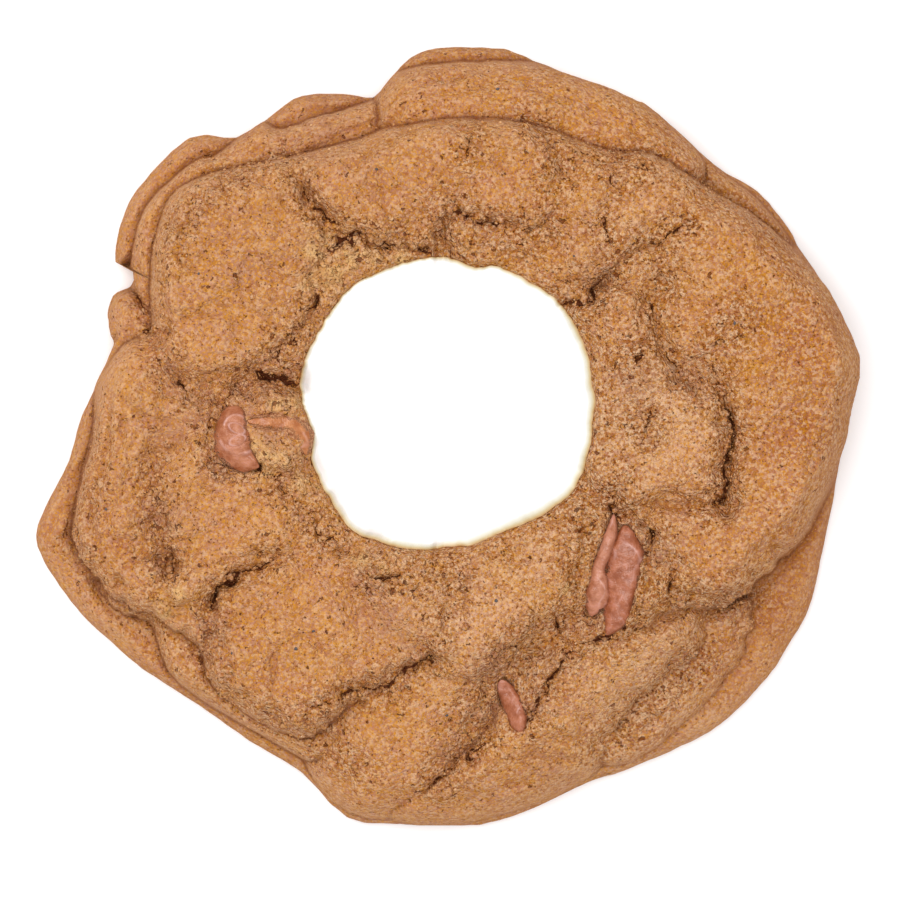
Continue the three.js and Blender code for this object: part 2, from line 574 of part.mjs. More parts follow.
// The dough: every layer joined, the well cut into it, then the cracks and the seats of the chips.
const well = { ...icing, floor: WELL_FLOOR, foot: OVER_ALL };
let dough = Object.values(layers)
  .map((layer) => pillow(layer, (x, y) => layerTop(layer, x, y)))
  .reduce((whole, layer) => whole.add(layer));
dough = dough.subtract(pillow(well, () => OVER_ALL, FIT_GAP));
CRACKS.forEach((path) => {
  dough = dough.subtract(crackWedge(path));
});
Object.values(CHIPS).forEach((path) => {
  dough = dough.subtract(chipSeat(path));
});
const [largest] = dough.decompose().sort((a, b) => b.volume() - a.volume());

const cookieMaterial = new THREE.MeshStandardMaterial({ color: 0xb98257, roughness: 0.9, metalness: 0 });
const icingMaterial = new THREE.MeshStandardMaterial({ color: 0xf6f2e6, roughness: 0.35, metalness: 0 });
const chipMaterial = new THREE.MeshStandardMaterial({ color: 0xb06a49, roughness: 0.3, metalness: 0 });

const gingerbreadCookie = new THREE.Group();
gingerbreadCookie.add(meshOf("cookie", largest, cookieMaterial));
gingerbreadCookie.add(meshOf("icing", pillow(icing, icingTop), icingMaterial));
Object.entries(CHIPS).forEach(([name, path]) => {
  gingerbreadCookie.add(meshOf(name, chipBody(path), chipMaterial));
});

export default gingerbreadCookie;
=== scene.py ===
"""A thick gingerbread cookie, dropped in a lump and baked, with a pool of white icing in its top."""

import bpy
import numpy as np
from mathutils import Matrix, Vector


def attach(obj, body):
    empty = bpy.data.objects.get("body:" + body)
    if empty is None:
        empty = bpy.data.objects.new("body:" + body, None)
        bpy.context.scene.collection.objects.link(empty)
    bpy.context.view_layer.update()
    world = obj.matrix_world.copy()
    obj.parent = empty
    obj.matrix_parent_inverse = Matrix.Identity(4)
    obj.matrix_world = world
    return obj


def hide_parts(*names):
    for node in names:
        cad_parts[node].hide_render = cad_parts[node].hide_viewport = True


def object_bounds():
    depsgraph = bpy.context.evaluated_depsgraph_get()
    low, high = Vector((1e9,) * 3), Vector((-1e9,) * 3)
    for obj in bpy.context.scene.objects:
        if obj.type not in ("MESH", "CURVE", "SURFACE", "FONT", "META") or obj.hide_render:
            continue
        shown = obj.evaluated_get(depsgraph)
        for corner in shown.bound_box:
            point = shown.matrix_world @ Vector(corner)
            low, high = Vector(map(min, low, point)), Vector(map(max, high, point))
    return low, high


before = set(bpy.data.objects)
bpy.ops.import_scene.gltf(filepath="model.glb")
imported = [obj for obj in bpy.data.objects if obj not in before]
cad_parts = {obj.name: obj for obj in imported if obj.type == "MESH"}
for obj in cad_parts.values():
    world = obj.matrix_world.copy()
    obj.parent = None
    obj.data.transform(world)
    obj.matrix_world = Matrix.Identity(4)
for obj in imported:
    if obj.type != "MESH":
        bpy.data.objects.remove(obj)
cad_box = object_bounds()

# The cookie: gingerbread dough dropped in a lump on a tray and baked. It spread into a thin skirt,
# the folds of the lump stayed as thick layers on it, and the crust cracked where it rose. A well was
# pressed into its top for the icing. One closed body, with a coarse sandy crumb.
MM = 0.001
CENTRE = (0.0, 4.3)          # the middle of the well, from which the skin's columns fan out
CROWN_HEIGHT = 20.4
WELL_FLOOR = 11.5
WELL_SLUMP = 2.4
WELL_SLUMP_REACH = 3.5
WELL_RADIUS = 17             # roughly, for the waves along its edge
COLUMNS = 900                # of the skin, and its rows on the top and down the side
TOP_ROWS = 92
SIDE_ROWS = 11
WELL_ROWS = 4
NO_EDGE = 9.0                # a distance so large that no edge, crease or crack is near
NOWHERE = -99.0

# Each layer: the height of its middle and of its widest edge, how far its shoulder rolls in above
# that edge and its wall draws in below it, the height of its underside, its lean (the rise in each
# millimetre along x and y) and its outline.
LAYERS = {
    "spread": (6.5, 1.8, 4.5, 1.0, 0.0, (0, 0), [
        [-7.7, 48.2], [-5, 51.2], [-0.9, 52.5], [7.8, 52.4], [15.9, 48.6], [22.3, 46.3], [28.8, 42.9],
        [36.2, 36.7], [42, 33.2], [46.3, 28.1], [47.8, 25.1], [50.6, 20.4], [52.7, 11.6], [52.8, 3.5],
        [52.7, -5.8], [51.2, -13.9], [49.5, -22.1], [46.4, -28.2], [40.6, -36], [33.3, -41.4],
        [24.4, -45.2], [19.7, -46.6], [12, -50.4], [4.3, -52.7], [-6.1, -52.5], [-13.5, -51.7],
        [-19.7, -45.6], [-26.6, -41.4], [-33.2, -36.7], [-41, -31.7], [-45.6, -27.8], [-51, -22.4],
        [-55.5, -15], [-54.9, -10.7], [-51.2, -3.4], [-49.5, 2.8], [-45, 12.3], [-46, 16.3],
        [-45.2, 19.2], [-43, 20.2], [-41.9, 21.6], [-42.4, 23.2], [-44.9, 23.4], [-44.1, 28.9],
        [-42.1, 33.2], [-35, 40.5], [-28.6, 40.5], [-22.8, 44], [-19.6, 46], [-13.8, 46.4], [-10, 45.9]]),
    "left_knob": (10, 4, 2.6, 1.0, 1.0, (0.2, 0), [
        [-45.8, 16.3], [-44.5, 19.4], [-41.4, 19.2], [-39.8, 15.4], [-41.4, 12.2], [-44.9, 12.6]]),
    "step_top_left": (12.5, 8, 3.5, 1.5, 1.0, (0.05, -0.05), [
        [-40.1, 15.7], [-42.3, 22.4], [-40.6, 30.5], [-34.7, 36.6], [-31.3, 37.8], [-27.9, 40],
        [-25, 41.9], [-21.9, 41.3], [-14.4, 43.7], [-8.4, 44.8], [-5, 40], [-19.8, 23.8], [-32, 15.7]]),
    "step_left": (11.5, 6.5, 4, 1.5, 1.0, (0.08, 0), [
        [-43.1, 18.4], [-45, 12.3], [-46.8, 6.9], [-47.9, 0.8], [-50.1, -10.7], [-49.5, -17],
        [-45.2, -23], [-40.6, -25.1], [-38.6, -29], [-36, -33.3], [-25, -40.4], [-15.8, -44.4],
        [-10.4, -38.3], [-19.8, -19.4], [-30.6, -0.5], [-36, 14.3]]),
    "shelf_upper_right": (10.5, 5, 4, 1.0, 1.0, (-0.05, -0.05), [
        [25, 45.1], [29.8, 42.2], [37.7, 35.2], [41.9, 32], [46, 27], [47.6, 22.7], [42.3, 18.4],
        [30.1, 26.5], [22, 37.3]]),
    "shelf_lower_right": (11.5, 6, 6, 0.0, 1.0, (-0.1, 0.1), [
        [32.8, -20.8], [40.2, -21.6], [40.6, -28.9], [34.8, -36.3], [24.7, -44], [18.7, -41.7],
        [26.8, -26.9]]),
    "lobe_bottom": (16.6, 2.6, 12, 0.6, 1.0, (0, 0.2), [
        [-20.5, -38.4], [-17, -31], [-7, -24], [5, -21.5], [13, -24], [14, -30.5], [11, -37.5],
        [7, -43.5], [2.5, -49], [-2.2, -52.5], [-6.1, -52.1], [-13.2, -51.2], [-19, -45.4]]),
    "lobe_lower_right": (16.8, 3, 11, 0.6, 1.0, (0.02, 0.18), [
        [13, -20.5], [26.1, -20], [35, -20.4], [36, -28.8], [29.4, -34.6], [25, -39.4], [22.2, -43.2],
        [19.1, -46.3], [12, -49.9], [2.8, -52.4], [-6, -52.3], [-8.6, -50.6], [-6, -46], [-1.8, -41],
        [2.5, -35], [6.5, -28]]),
    "band_top": (17.6, 8.5, 7, 2.0, 1.0, (-0.03, -0.16), [
        [-9.3, 45.4], [-6.3, 48.6], [-0.9, 50.1], [9.9, 50.2], [19.3, 47.7], [25, 45.4], [31.5, 40.5],
        [34.8, 34.6], [26.1, 26.5], [9.9, 26.5], [-5, 30.5], [-10.1, 38.6]]),
    "crown": (CROWN_HEIGHT, 10, 5, 5.0, 3.0, (0.03, 0.02), [
        [-40.1, 17.7], [-39.7, 25.1], [-37.4, 32.1], [-33.9, 34.7], [-27.5, 36.5], [-21.2, 37.7],
        [-11.7, 40.1], [-6.3, 42.5], [3.1, 43.5], [12.6, 42.4], [20.7, 39.8], [28.1, 38.5],
        [34.2, 34], [41.6, 29.4], [48.1, 23.5], [52, 18.4], [55.5, 10.5], [54.4, 3.5], [52.7, -3.2],
        [48.5, -12.4], [44.4, -17], [39.2, -21.6], [34.7, -23.4], [29, -25.4], [21.5, -30.4],
        [14, -34.5], [7, -37], [1.5, -35], [-4.2, -34.2], [-10, -36.4], [-15.5, -39.6], [-21.2, -40.4],
        [-27.9, -37], [-31.9, -32.9], [-33.9, -27.5], [-40.1, -24], [-45.8, -21.1], [-49.3, -16.1],
        [-49.3, -8.6], [-47.5, -0.5], [-46.6, 6.9], [-43.5, 12.3], [-40.1, 13.6]]),
}
# Each swell of the crown: how far it stands proud, the roll of its edge, its outline.
SWELLS = {
    "upper_left": (1.6, 4, [
        [-40.1, 18.4], [-39.7, 25.1], [-37.4, 32.1], [-33.9, 34.7], [-27.5, 36.5], [-20.5, 37.5],
        [-19, 32.5], [-15.4, 27.5], [-17.4, 22.4], [-17.4, 16.7], [-25, 8.5], [-30, 6.5],
        [-36.7, 8.6], [-39.6, 13.6]]),
    "top": (2.2, 3, [
        [-21.6, 37.1], [-11.7, 40.1], [-6.3, 42.5], [3.1, 43.2], [11.2, 41.6], [15.5, 34.6],
        [13.2, 28.1], [7.2, 27.3], [1.8, 29.2], [-3, 24], [-8.4, 25.7], [-14.4, 26.2], [-17.4, 30.2]]),
    "right": (1.8, 6, [
        [13.6, 32.9], [19.3, 36.7], [28.1, 38.5], [34.2, 34.9], [41.6, 30], [48.1, 24], [52.5, 18.4],
        [56, 10.5], [54.9, 3.5], [52.7, -4.2], [48.5, -12.4], [44.4, -17.5], [39.2, -22.5],
        [33, -22.5], [29.8, -18.5], [27.4, -13.4], [36, -10.6], [37.9, -0.8], [36.5, 6.2],
        [32.8, 11.6], [28.2, 19.7], [19.3, 20], [14.2, 26.5]]),
    "mid_right": (2, 3, [
        [15.3, 17.6], [20.7, 19.7], [26.7, 19.7], [28.1, 13.6], [32.8, 9.2], [36, 6.9], [37.6, -0.3],
        [36.4, -8.6], [28.8, -9], [22.3, -10], [18, -4.6], [15.3, 4.9]]),
    "middle": (2, 5.5, [
        [-15.1, -16.7], [-6.3, -13], [4.5, -12.7], [14.3, -6.6], [21.5, -9.3], [20.1, -16.7],
        [12.6, -24.8], [5.5, -33.5], [-2, -29.7], [-10.4, -24.2]]),
    "bottom_left": (1.4, 5, [
        [-32, -23.8], [-29, -19.7], [-23.2, -16.2], [-13.8, -15.1], [-6.3, -20.8], [-2.3, -29.6],
        [-6.1, -31.9], [-13.9, -34.8], [-19.8, -39.2], [-26.6, -37.3], [-31.7, -32.9]]),
    "lower_left": (1.2, 4, [
        [-38.7, -8.6], [-36, -3.2], [-30, -3], [-22.5, -6.2], [-16.1, -13.5], [-15.1, -16.7],
        [-23.6, -15.9], [-30.4, -21.1], [-35.4, -22.1], [-38.7, -16.7]]),
    "chip_lump": (2.2, 4, [
        [-31.5, 0.5], [-29.6, 5.5], [-25, 7.4], [-19.2, 6.2], [-17.4, 0.8], [-18.2, -4.1],
        [-21.9, -6.2], [-27.9, -4.6]]),
}
LUMPS = [  # middle, radius, height
    [-44.1, 8.2, 2.6, 1], [-40.1, 9.6, 2.4, 1.2], [-42.1, 4.2, 2.8, 1.2], [-36.7, 3.5, 2.6, 1],
    [-40.8, -0.9, 2.4, 0.9], [-34, 0.2, 2.2, 1], [-44.1, -5.9, 3, 1.2], [-42.8, -12.7, 3, 1],
    [-45.2, -17, 2.6, 0.8], [-40.1, -18.8, 2.6, 0.9], [-36.2, -27.5, 2.4, 1.4],
    [-35.8, -21, 1.7, 0.9], [-38.6, -25, 1.9, 1], [-37.1, -17.1, 1.2, -1.7], [-33.4, -24, 1.6, 0.7],
    [-24.4, 5, 1.6, 0.7], [-20.6, 4.4, 1.3, 0.6], [-22.6, -3.6, 1.4, 0.9], [-19.8, -6.8, 1.5, 0.7],
    [-37, 31, 2, 0.5], [-31.6, 36.6, 1.6, 0.5], [20, 31, 2.2, 0.7], [24.5, 29, 2, 0.7], [17, 24, 2, 0.6],
    [21.5, 15, 2.2, 0.5], [30.5, 13, 2, 0.6], [24.8, -9.2, 1.4, 0.7], [28.6, -11.4, 1.5, 0.7],
]
VALLEYS = [  # half width, then the path with the depth at each point
    (3.2, [[23, -19.6, 1.2], [20.4, -22.6, 2.6], [16.6, -25.5, 4], [11.2, -29.6, 5], [7.2, -35, 5]]),
    (1.5, [[-20.4, 37.3, 0.6], [-19, 31.9, 1.2], [-14.9, 28.1, 1.6]]),
    (2.2, [[31.6, 29.5, 1], [28.1, 24.4, 2.4], [23.4, 21.7, 1.8], [19.3, 19.4, 1.6]]),
    (2, [[27.5, 19, 1.2], [28.1, 12.3, 1.5], [31.5, 7.8, 1.8], [33.6, 6.2, 1]]),
    (1.6, [[35.8, 9.6, 0.6], [37.1, 2.2, 1.2], [37.1, -4.6, 1.6], [36.3, -9.2, 2.4]]),
    (1.6, [[22.3, -9.3, 1.4], [28.8, -8.9, 1], [36.3, -9.5, 2.2]]),
    (2.4, [[-19.8, 6.9, 2], [-25.9, 7.6, 2.6], [-31.3, 6.2, 2.2], [-36, 6.9, 1.8], [-38.7, 10.9, 1.6],
           [-40.1, 15, 2]]),
    (2.2, [[-36, 2.2, 0.8], [-39.4, -1.9, 1.4], [-38.7, -10, 1.8], [-37.1, -18.1, 2], [-36, -22.1, 2]]),
    (1.5, [[-32.7, -24.2, 1.6], [-30, -20.5, 1.8], [-23.6, -15.8, 0.8]]),
    (1.6, [[-13.9, -34.8, 1], [-6.1, -31.9, 1.3], [-2.3, -29.8, 1.6]]),
    (2.8, [[-14.4, -16.7, 0.6], [-10.1, -22.8, 1.5], [-5.7, -27.5, 1.8], [-2.3, -29.8, 1.6]]),
    (1.2, [[-0.1, 28.8, 0.6], [-0.1, 24.4, 1.6]]),
]
CRACKS = [  # the path with the crack's half width and depth at each point; the short ones are holes
    [[-40, 14, 0.6, 3], [-39.5, 14.1, 0.6, 3]], [[-41.6, 18.2, 0.4, 2], [-41.3, 17.8, 0.4, 2]],
    [[-25.3, -4.3, 0.7, 4], [-25, -5, 0.5, 4]], [[-2.5, -30.2, 0.4, 3], [-2.1, -29.7, 0.6, 3]],
    [[-15, 25, 1.5, 4], [-13.8, 25.6, 1.9, 4], [-12.6, 26.3, 0.8, 3]],
    [[-8.4, 26, 0.4, 3], [-7.6, 25.9, 0.5, 3]], [[-3.4, 25.3, 0.3, 2], [-2.8, 24.7, 0.6, 3]],
    [[-35.8, 7, 0.3, 2], [-35.4, 6.2, 0.5, 2]], [[-20.6, 12.8, 0.4, 2], [-20, 12.2, 0.4, 2]],
    [[-17.7, 17, 0.5, 3], [-16.9, 18, 0.6, 3]], [[-22.8, 11, 0.3, 2], [-22.6, 10.4, 0.4, 2]],
    [[20.8, 28.6, 0.3, 2], [21.4, 27.2, 0.3, 2], [21.6, 26.3, 0.2, 1]],
    [[22, 34.2, 0.4, 2], [22.6, 33, 0.3, 2]], [[26.2, 35.8, 0.3, 2], [26.6, 35, 0.3, 2]],
    [[25.4, 10.7, 0.3, 2], [25.2, 10, 0.3, 2]], [[26.4, 2.2, 0.2, 2], [26.3, 1.2, 0.2, 2]],
    [[21.8, -10, 0.5, 3], [22.6, -10.8, 0.5, 3]], [[27, -12.8, 0.5, 3], [27.2, -14, 0.4, 3]],
    [[14.9, -25, 0.4, 3], [15.3, -25.8, 0.3, 3]], [[30.1, -19.6, 0.3, 3], [30.2, -20.9, 0.3, 3]],
    [[-32.2, 37.8, 0.3, 1], [-31.6, 37.6, 0.3, 1]], [[3, 39, 0.2, 1.5], [3.1, 37.4, 0.2, 1.5]],
    [[35.5, 9.2, 0.2, 1], [36.6, 5.5, 0.4, 3.5], [37.9, 0.8, 0.5, 4], [37.2, -3.2, 0.5, 4],
     [36.9, -6.8, 0.4, 3.5], [36, -9.2, 0.9, 3.5], [34, -9.4, 0.2, 1]],
    [[27.3, 17.5, 0.2, 1], [28.1, 15, 0.4, 2.5], [28.1, 12.4, 0.4, 2.5], [30.9, 8.4, 0.2, 1]],
    [[-19.4, 32.4, 0.2, 1], [-17.5, 30, 0.4, 2.5], [-15, 28.2, 0.4, 2]],
    [[-22.1, -6.2, 0.3, 1.5], [-20.1, -8.8, 0.7, 3.5], [-18.1, -11.2, 0.8, 3.5], [-15.9, -13.6, 0.3, 1.5]],
    [[-31.3, -22.5, 0.9, 3.5], [-30.5, -21.1, 1, 3.5]], [[-29.5, -20, 1, 3.5], [-28.7, -19.2, 0.9, 3.5]],
    [[-37, -15.9, 0.3, 1.5], [-36.4, -17, 0.4, 2], [-36.6, -18.2, 0.3, 1.5]],
    [[-31.6, -23, 0.3, 1.5], [-30.5, -20.8, 0.7, 3.5], [-28.6, -19.5, 0.7, 3.5],
     [-26, -17.9, 0.3, 2], [-23.6, -15.8, 0.2, 1]],
    [[-10.2, -18.9, 0.2, 1], [-8.1, -19.2, 0.4, 2.5], [-6, -18.6, 0.2, 1]],
    [[-17.3, -36.3, 0.2, 1], [-10.8, -33.9, 0.4, 2.5], [-8.4, -33.6, 0.3, 1.5],
     [-6.1, -31.7, 0.3, 1.5], [-2.3, -29.8, 0.4, 2.5]],
    [[24.6, -24.8, 0.3, 2], [21.3, -27.3, 0.5, 4], [16.6, -28.7, 0.7, 4], [14.8, -31, 0.4, 3],
     [13.6, -34, 0.4, 3], [10.8, -38.6, 0.3, 1.5]],
    [[5.4, -40.6, 0.3, 2], [2.7, -42.4, 0.6, 3], [0.4, -44.8, 0.6, 3], [-1.5, -46.8, 0.2, 1]],
    [[1.6, 29.4, 0.2, 1], [7.4, 27.3, 0.4, 2.5], [11.2, 27.5, 0.4, 2.5], [13.9, 28.5, 0.2, 1]],
    [[28.6, 25.4, 0.2, 1], [30.2, 27.2, 0.4, 2.5], [31.6, 28.1, 0.2, 1]],
    [[-29, 6.4, 0.3, 1.5], [-26, 8.2, 1.3, 3.5], [-22.6, 7.8, 1.2, 3], [-19.7, 7, 0.4, 2]],
    [[15.6, 18, 0.3, 1], [19.3, 18.6, 0.5, 2.5], [20.4, 20.6, 0.2, 1]],
]
ICING_OUTLINE = [
    [0, 23.9], [3.8, 22.3], [7.2, 22.5], [14.6, 18.1], [18.4, 12.3], [19.6, 5.5], [18.8, -2.6],
    [15.5, -8.6], [7.2, -13.1], [0.4, -15], [-7, -14.7], [-13.1, -12], [-18, -4.3], [-18, -0.3],
    [-19.7, 6.9], [-18.2, 12.3], [-13.8, 18.8], [-9, 21.9], [-3.6, 23.8],
]

# Each melted chip: a path with the chip's width to its left, to its right, and how far it stands out.
CHIPS = {
    "chip_left": [
        [-28.2, 4.1, 0.8, 0.7, 0.3], [-28.3, 3.4, 1.4, 1.6, 0.7], [-28.4, 1.8, 1.8, 2.4, 0.9],
        [-28.3, 0.2, 2, 2.7, 1], [-28.1, -1.2, 2, 2.8, 1], [-27.4, -2.5, 1.8, 2.4, 0.9],
        [-26.1, -3.5, 1.1, 1.7, 0.7], [-25, -4.2, 0.4, 0.5, 0.3]],
    "chip_left_smear": [
        [-26.6, 2, 0.7, 0.9, 0.2], [-24.4, 1.9, 1, 1.2, 0.4], [-22.2, 1.8, 1.2, 1.4, 0.4],
        [-20.4, 1.5, 1.4, 1.7, 0.4], [-19.1, 0.4, 1.3, 1.9, 0.4], [-18.8, -0.9, 1, 1.6, 0.35],
        [-18.8, -2.6, 0.6, 0.9, 0.2]],
    "chip_right_narrow": [
        [22.2, -10.4, 0.5, 0.5, 0.4], [21.9, -12.7, 0.9, 0.9, 0.9], [21.4, -14.4, 1, 1, 1.2],
        [20.8, -16.1, 1, 1, 1.1], [20.2, -17.7, 0.9, 0.9, 0.9], [20.2, -19.4, 1.4, 1.3, 1.2],
        [20.1, -21.4, 1.8, 1.7, 1.4], [19.6, -22.9, 1.3, 1.3, 1], [19.2, -24.1, 0.5, 0.6, 0.4]],
    "chip_right_large": [
        [23.6, -11.9, 0.8, 0.8, 0.4], [24, -13.6, 1.4, 1.8, 0.7], [24.2, -15.5, 1.9, 2.8, 0.8],
        [24, -18, 1.8, 3.1, 0.7], [23.6, -20.4, 1.7, 2.8, 0.8], [23, -23, 1.8, 2.3, 0.9],
        [22.2, -25, 1.4, 1.5, 0.7], [21.2, -26.6, 0.5, 0.5, 0.4]],
    "chip_lower": [
        [7.2, -32.6, 0.6, 0.8, 0.3], [8, -34.3, 1.2, 1.2, 0.6], [8.8, -36.3, 1.4, 1.3, 0.8],
        [9.5, -38.2, 1.3, 1.2, 0.8], [9.9, -39.7, 0.5, 0.5, 0.3]],
}
# Creases in the skin, too shallow to be cracks: the path with the depth at each point.
CREASES = [
    [[-15, 26.6, 1.6], [-12.5, 26.6, 2.4], [-9, 25.7, 2], [-5.5, 25.4, 2], [-3, 25, 2.2], [-1, 24.6, 1]],
    [[-17.4, 20.4, 1], [-17.6, 17, 1.6], [-19.4, 14.4, 1.6], [-21.4, 12.6, 1.8], [-23.4, 10.2, 1.6],
     [-26, 9.2, 1]],
    [[-37.6, 9.4, 1], [-36, 7.2, 1.6], [-35.2, 5.6, 1.2], [-33, 5, 1]],
    [[-31.5, 5, 1.2], [-31.6, 1.5, 1.4], [-32, -1.6, 1], [-30.2, -3.9, 1.2], [-27, -5, 0.8]],
    [[-39, -5, 0.4], [-38.2, -9, 0.5], [-38, -13, 0.4], [-38.6, -16.5, 0.4]],
    [[-31.2, -23, 1.4], [-31.4, -25.6, 1.2], [-33, -28, 0.8], [-32, -32, 0.8], [-28, -36.6, 0.8],
     [-23, -39, 1.1], [-19.4, -39.2, 0.8], [-16.5, -38.4, 0.4]],
    [[-42, -24.4, 0.6], [-40.4, -27, 0.8], [-38.4, -30, 0.8], [-37, -33, 0.6]],
    [[-21, -41, 0.8], [-17.6, -43, 0.9], [-13, -44, 0.5]],
    [[0, -18.8, 0.4], [0.1, -22, 0.8], [-0.8, -26, 0.8], [-2, -29, 1]],
    [[10.4, -26.6, 0.8], [7, -30, 1.6], [4.6, -34, 1.4], [2.4, -38.5, 1.2]],
    [[14.6, -24.6, 1.2], [15.2, -26.8, 1.6], [17, -28.6, 1.2]],
    [[12, -29, 0.8], [10, -31.6, 1], [11.6, -34.5, 0.8]],
    [[22.4, -7.6, 1], [22.2, -10, 1.6], [24.8, -11, 1.4], [27, -13, 2], [26.8, -16, 1.6],
     [26.9, -20, 1.2], [25.6, -24, 1.4]],
    [[18, -10.6, 0.6], [18.4, -14, 1], [17.6, -18, 1], [18, -22, 1.2], [19.6, -25.4, 1.4]],
    [[30, -17.5, 1], [30.2, -20.6, 1.6], [33.5, -21.4, 1.2], [37.5, -22.2, 1.6], [41, -21.6, 1.2]],
    [[15, 17.6, 0.8], [18, 18, 1.6], [20.3, 20, 1.8], [22.6, 22.6, 1.6], [25, 24.2, 1.6],
     [28.4, 25.4, 1.2]],
    [[28.4, 22.8, 1.2], [28.2, 21, 1.4], [30, 19.8, 0.8]],
    [[27.6, 13.4, 1.2], [28.6, 10.6, 1.6], [31, 8, 1.4], [33.4, 6.2, 1]],
    [[-0.2, 31.2, 0.8], [-0.4, 28, 1.4], [0.4, 25, 1.6]],
    [[20, 36.6, 0.6], [23.4, 37.2, 1], [27.6, 37.8, 0.5]],
    [[11.4, 41.6, 0.5], [15.2, 36.6, 1], [13.8, 32.5, 0.6]],
    [[-22, 37, 0.6], [-20.4, 35, 1], [-19.6, 32.6, 1]],
    [[35.8, 12.2, 0.6], [37.4, 14.6, 0.9], [38.5, 16.2, 0.5]],
    [[-47.6, 2, 0.3], [-48, -2.6, 0.4], [-49, -8, 0.4], [-50, -13.6, 0.5], [-48.4, -19.2, 0.6],
     [-45.2, -23.4, 0.6], [-42, -24.4, 0.6]],
    [[-52.8, -14.7, 1], [-50.8, -13, 1.2]],
    [[28.1, 38.9, 0.4], [34.4, 34.6, 0.6], [40.8, 30.8, 0.7], [47, 24.6, 0.7], [51, 19.6, 0.5]],
    [[-36.6, -15.8, 0.8], [-36, -17.2, 1.6], [-36.6, -18.6, 1.2], [-37.8, -18.6, 0.6]],
    [[-26.4, 35.6, 0.6], [-31.4, 33, 0.9], [-35.6, 27.6, 0.9], [-38.2, 21.6, 0.7]],
    [[20.4, -43.6, 0.3], [24.6, -39.2, 0.4], [29.2, -34.4, 0.4], [33.6, -30, 0.3]],
]
# Broad patches where the dough is paler, or browner where the amount is below 0.
TONES = [  # middle, radius, amount
    [-27, 24, 11, -0.65], [-7, 34, 8, -0.5], [10, 42, 9, -0.4], [-26, -30, 10, -0.4], [48, 6, 10, -0.5],
    [-44, -10, 9, -0.45], [28, 3, 9, 0.7], [28, -36, 10, 0.7], [2, -24, 9, 0.5], [26, 27, 8, 0.35],
    [15, -15, 7, 0.3], [-41, -25, 6, 0.2], [-4, 51, 3.5, -0.4], [4, 52, 4, -0.5], [12, 51, 4, -0.4],
    [43, 31, 4, -0.2],
]
# Toasted and pale patches of the crumb, and patches of purplish grey painted shade: middle and radius.
TOASTED = [
    [-33, 38.6, 2.6], [-17.6, 45.2, 2.8], [-4, 50.6, 3], [3, 51.6, 3], [10, 51.2, 2.6], [-43, 25.6, 2.6],
    [-42, 18, 1.6], [-41, -31.5, 2.6], [-53.4, -13.4, 2.4], [-49, -7, 3], [-44, -14, 3.4], [48, -15, 4.5],
    [45, -24, 5], [36, -31, 5], [28, -41, 4.5], [43, 30.4, 4], [51.4, -6, 3], [-31, -24, 1.6],
    [-37.2, -17, 1.2], [47, 12, 5], [48, 0, 5], [36.5, 37, 3.5], [47.6, 25.4, 3.5], [29, 42, 3],
    [52, 15, 2.6], [-23, 43, 2.6], [-38, 36, 3], [-28, 39.6, 2.4], [51, -12, 3.6], [-13, 45.6, 2.6],
    [-44.6, 21.6, 1.6],
]
PALE_CRAGS = [
    [-17, 25, 1.8], [-15.6, 21.8, 2.2], [-13.4, 23, 1.8], [-25.2, -4.4, 1.4], [-10.6, 23.4, 1.4],
    [-24.6, -2, 1.8], [-22.4, -3.4, 1.4], [-19.4, -6.2, 1.2], [-18, 20.6, 1.4], [16, -20.6, 0.9],
    [-6, 24, 1], [-37.8, -23.4, 1.1], [-22.7, 3.9, 1], [-20.1, 4.2, 1], [-16.4, -6.6, 1],
    [-35.6, -20.6, 1], [-11.6, -16.4, 1.2], [-8, -17.4, 0.9],
]
# The purplish grey painted shade lies mostly in the valleys and creases and round the chips.
COOL_SHADE_PATCHES = [
    [-23.4, 0.2, 2.4], [-33.4, 3.4, 3], [-30.6, -4.6, 2], [-26, 5.6, 3], [24, -14, 3], [21, -24.6, 2.6],
    [28, -15.6, 2.6], [-8, -25, 2.6], [-4.6, -27.6, 2.4], [12.8, -31, 2.6], [6, -30.6, 3],
    [11.4, -35.5, 2], [-37.2, -16.2, 1.8], [5, -37, 2.6], [1, -42, 2.4], [-31.2, -25.4, 2],
    [32.2, 7.6, 2.6], [19.6, 22.6, 2.8], [25, 7, 2.4], [-36.8, 0.6, 2.6], [-37.6, -10, 3],
    [-17, 41.6, 5], [38.6, -22.4, 2.6], [13.4, -44, 3], [-11, -20, 2.4], [-36, 7, 2.2],
]

# A square lattice over the cookie, on which the outlines are measured once.
CELL = 0.2
LATTICE_X = np.arange(-61, 61, CELL)
LATTICE_Y = np.arange(-58, 58, CELL)
grid_x, grid_y = np.meshgrid(LATTICE_X, LATTICE_Y)


def catmull_rom(a, b, c, d, t):
    """The cubic in t from b to c whose slopes there are half the ways from a to c and from b to d."""
    return (2 * b + (c - a) * t + (2 * a - 5 * b + 4 * c - d) * t**2 + (3 * b - a - 3 * c + d) * t**3) / 2


def smooth_outline(points, steps=3):
    """Points along the closed Catmull-Rom curve through an outline."""
    a, b, c, d = (np.roll(np.array(points, float), k, axis=0)[:, None] for k in (1, 0, -1, -2))
    t = np.linspace(0, 1, steps, endpoint=False)[None, :, None]
    return catmull_rom(a, b, c, d, t).reshape(-1, 2)


def inside_distance(outline, x, y):
    """Distance to the nearest edge of a closed outline, positive inside it and negative outside."""
    near = np.full(x.shape, np.inf)
    within = np.zeros(x.shape, bool)
    for (ax, ay), (bx, by) in zip(outline, np.roll(outline, -1, axis=0)):
        ex, ey = bx - ax, by - ay
        t = np.clip(((x - ax) * ex + (y - ay) * ey) / (ex * ex + ey * ey), 0, 1)
        near = np.minimum(near, (x - ax - t * ex) ** 2 + (y - ay - t * ey) ** 2)
        if ey:
            within ^= ((ay > y) != (by > y)) & (x < ax + (y - ay) / ey * ex)
    return np.where(within, 1, -1) * np.sqrt(near)


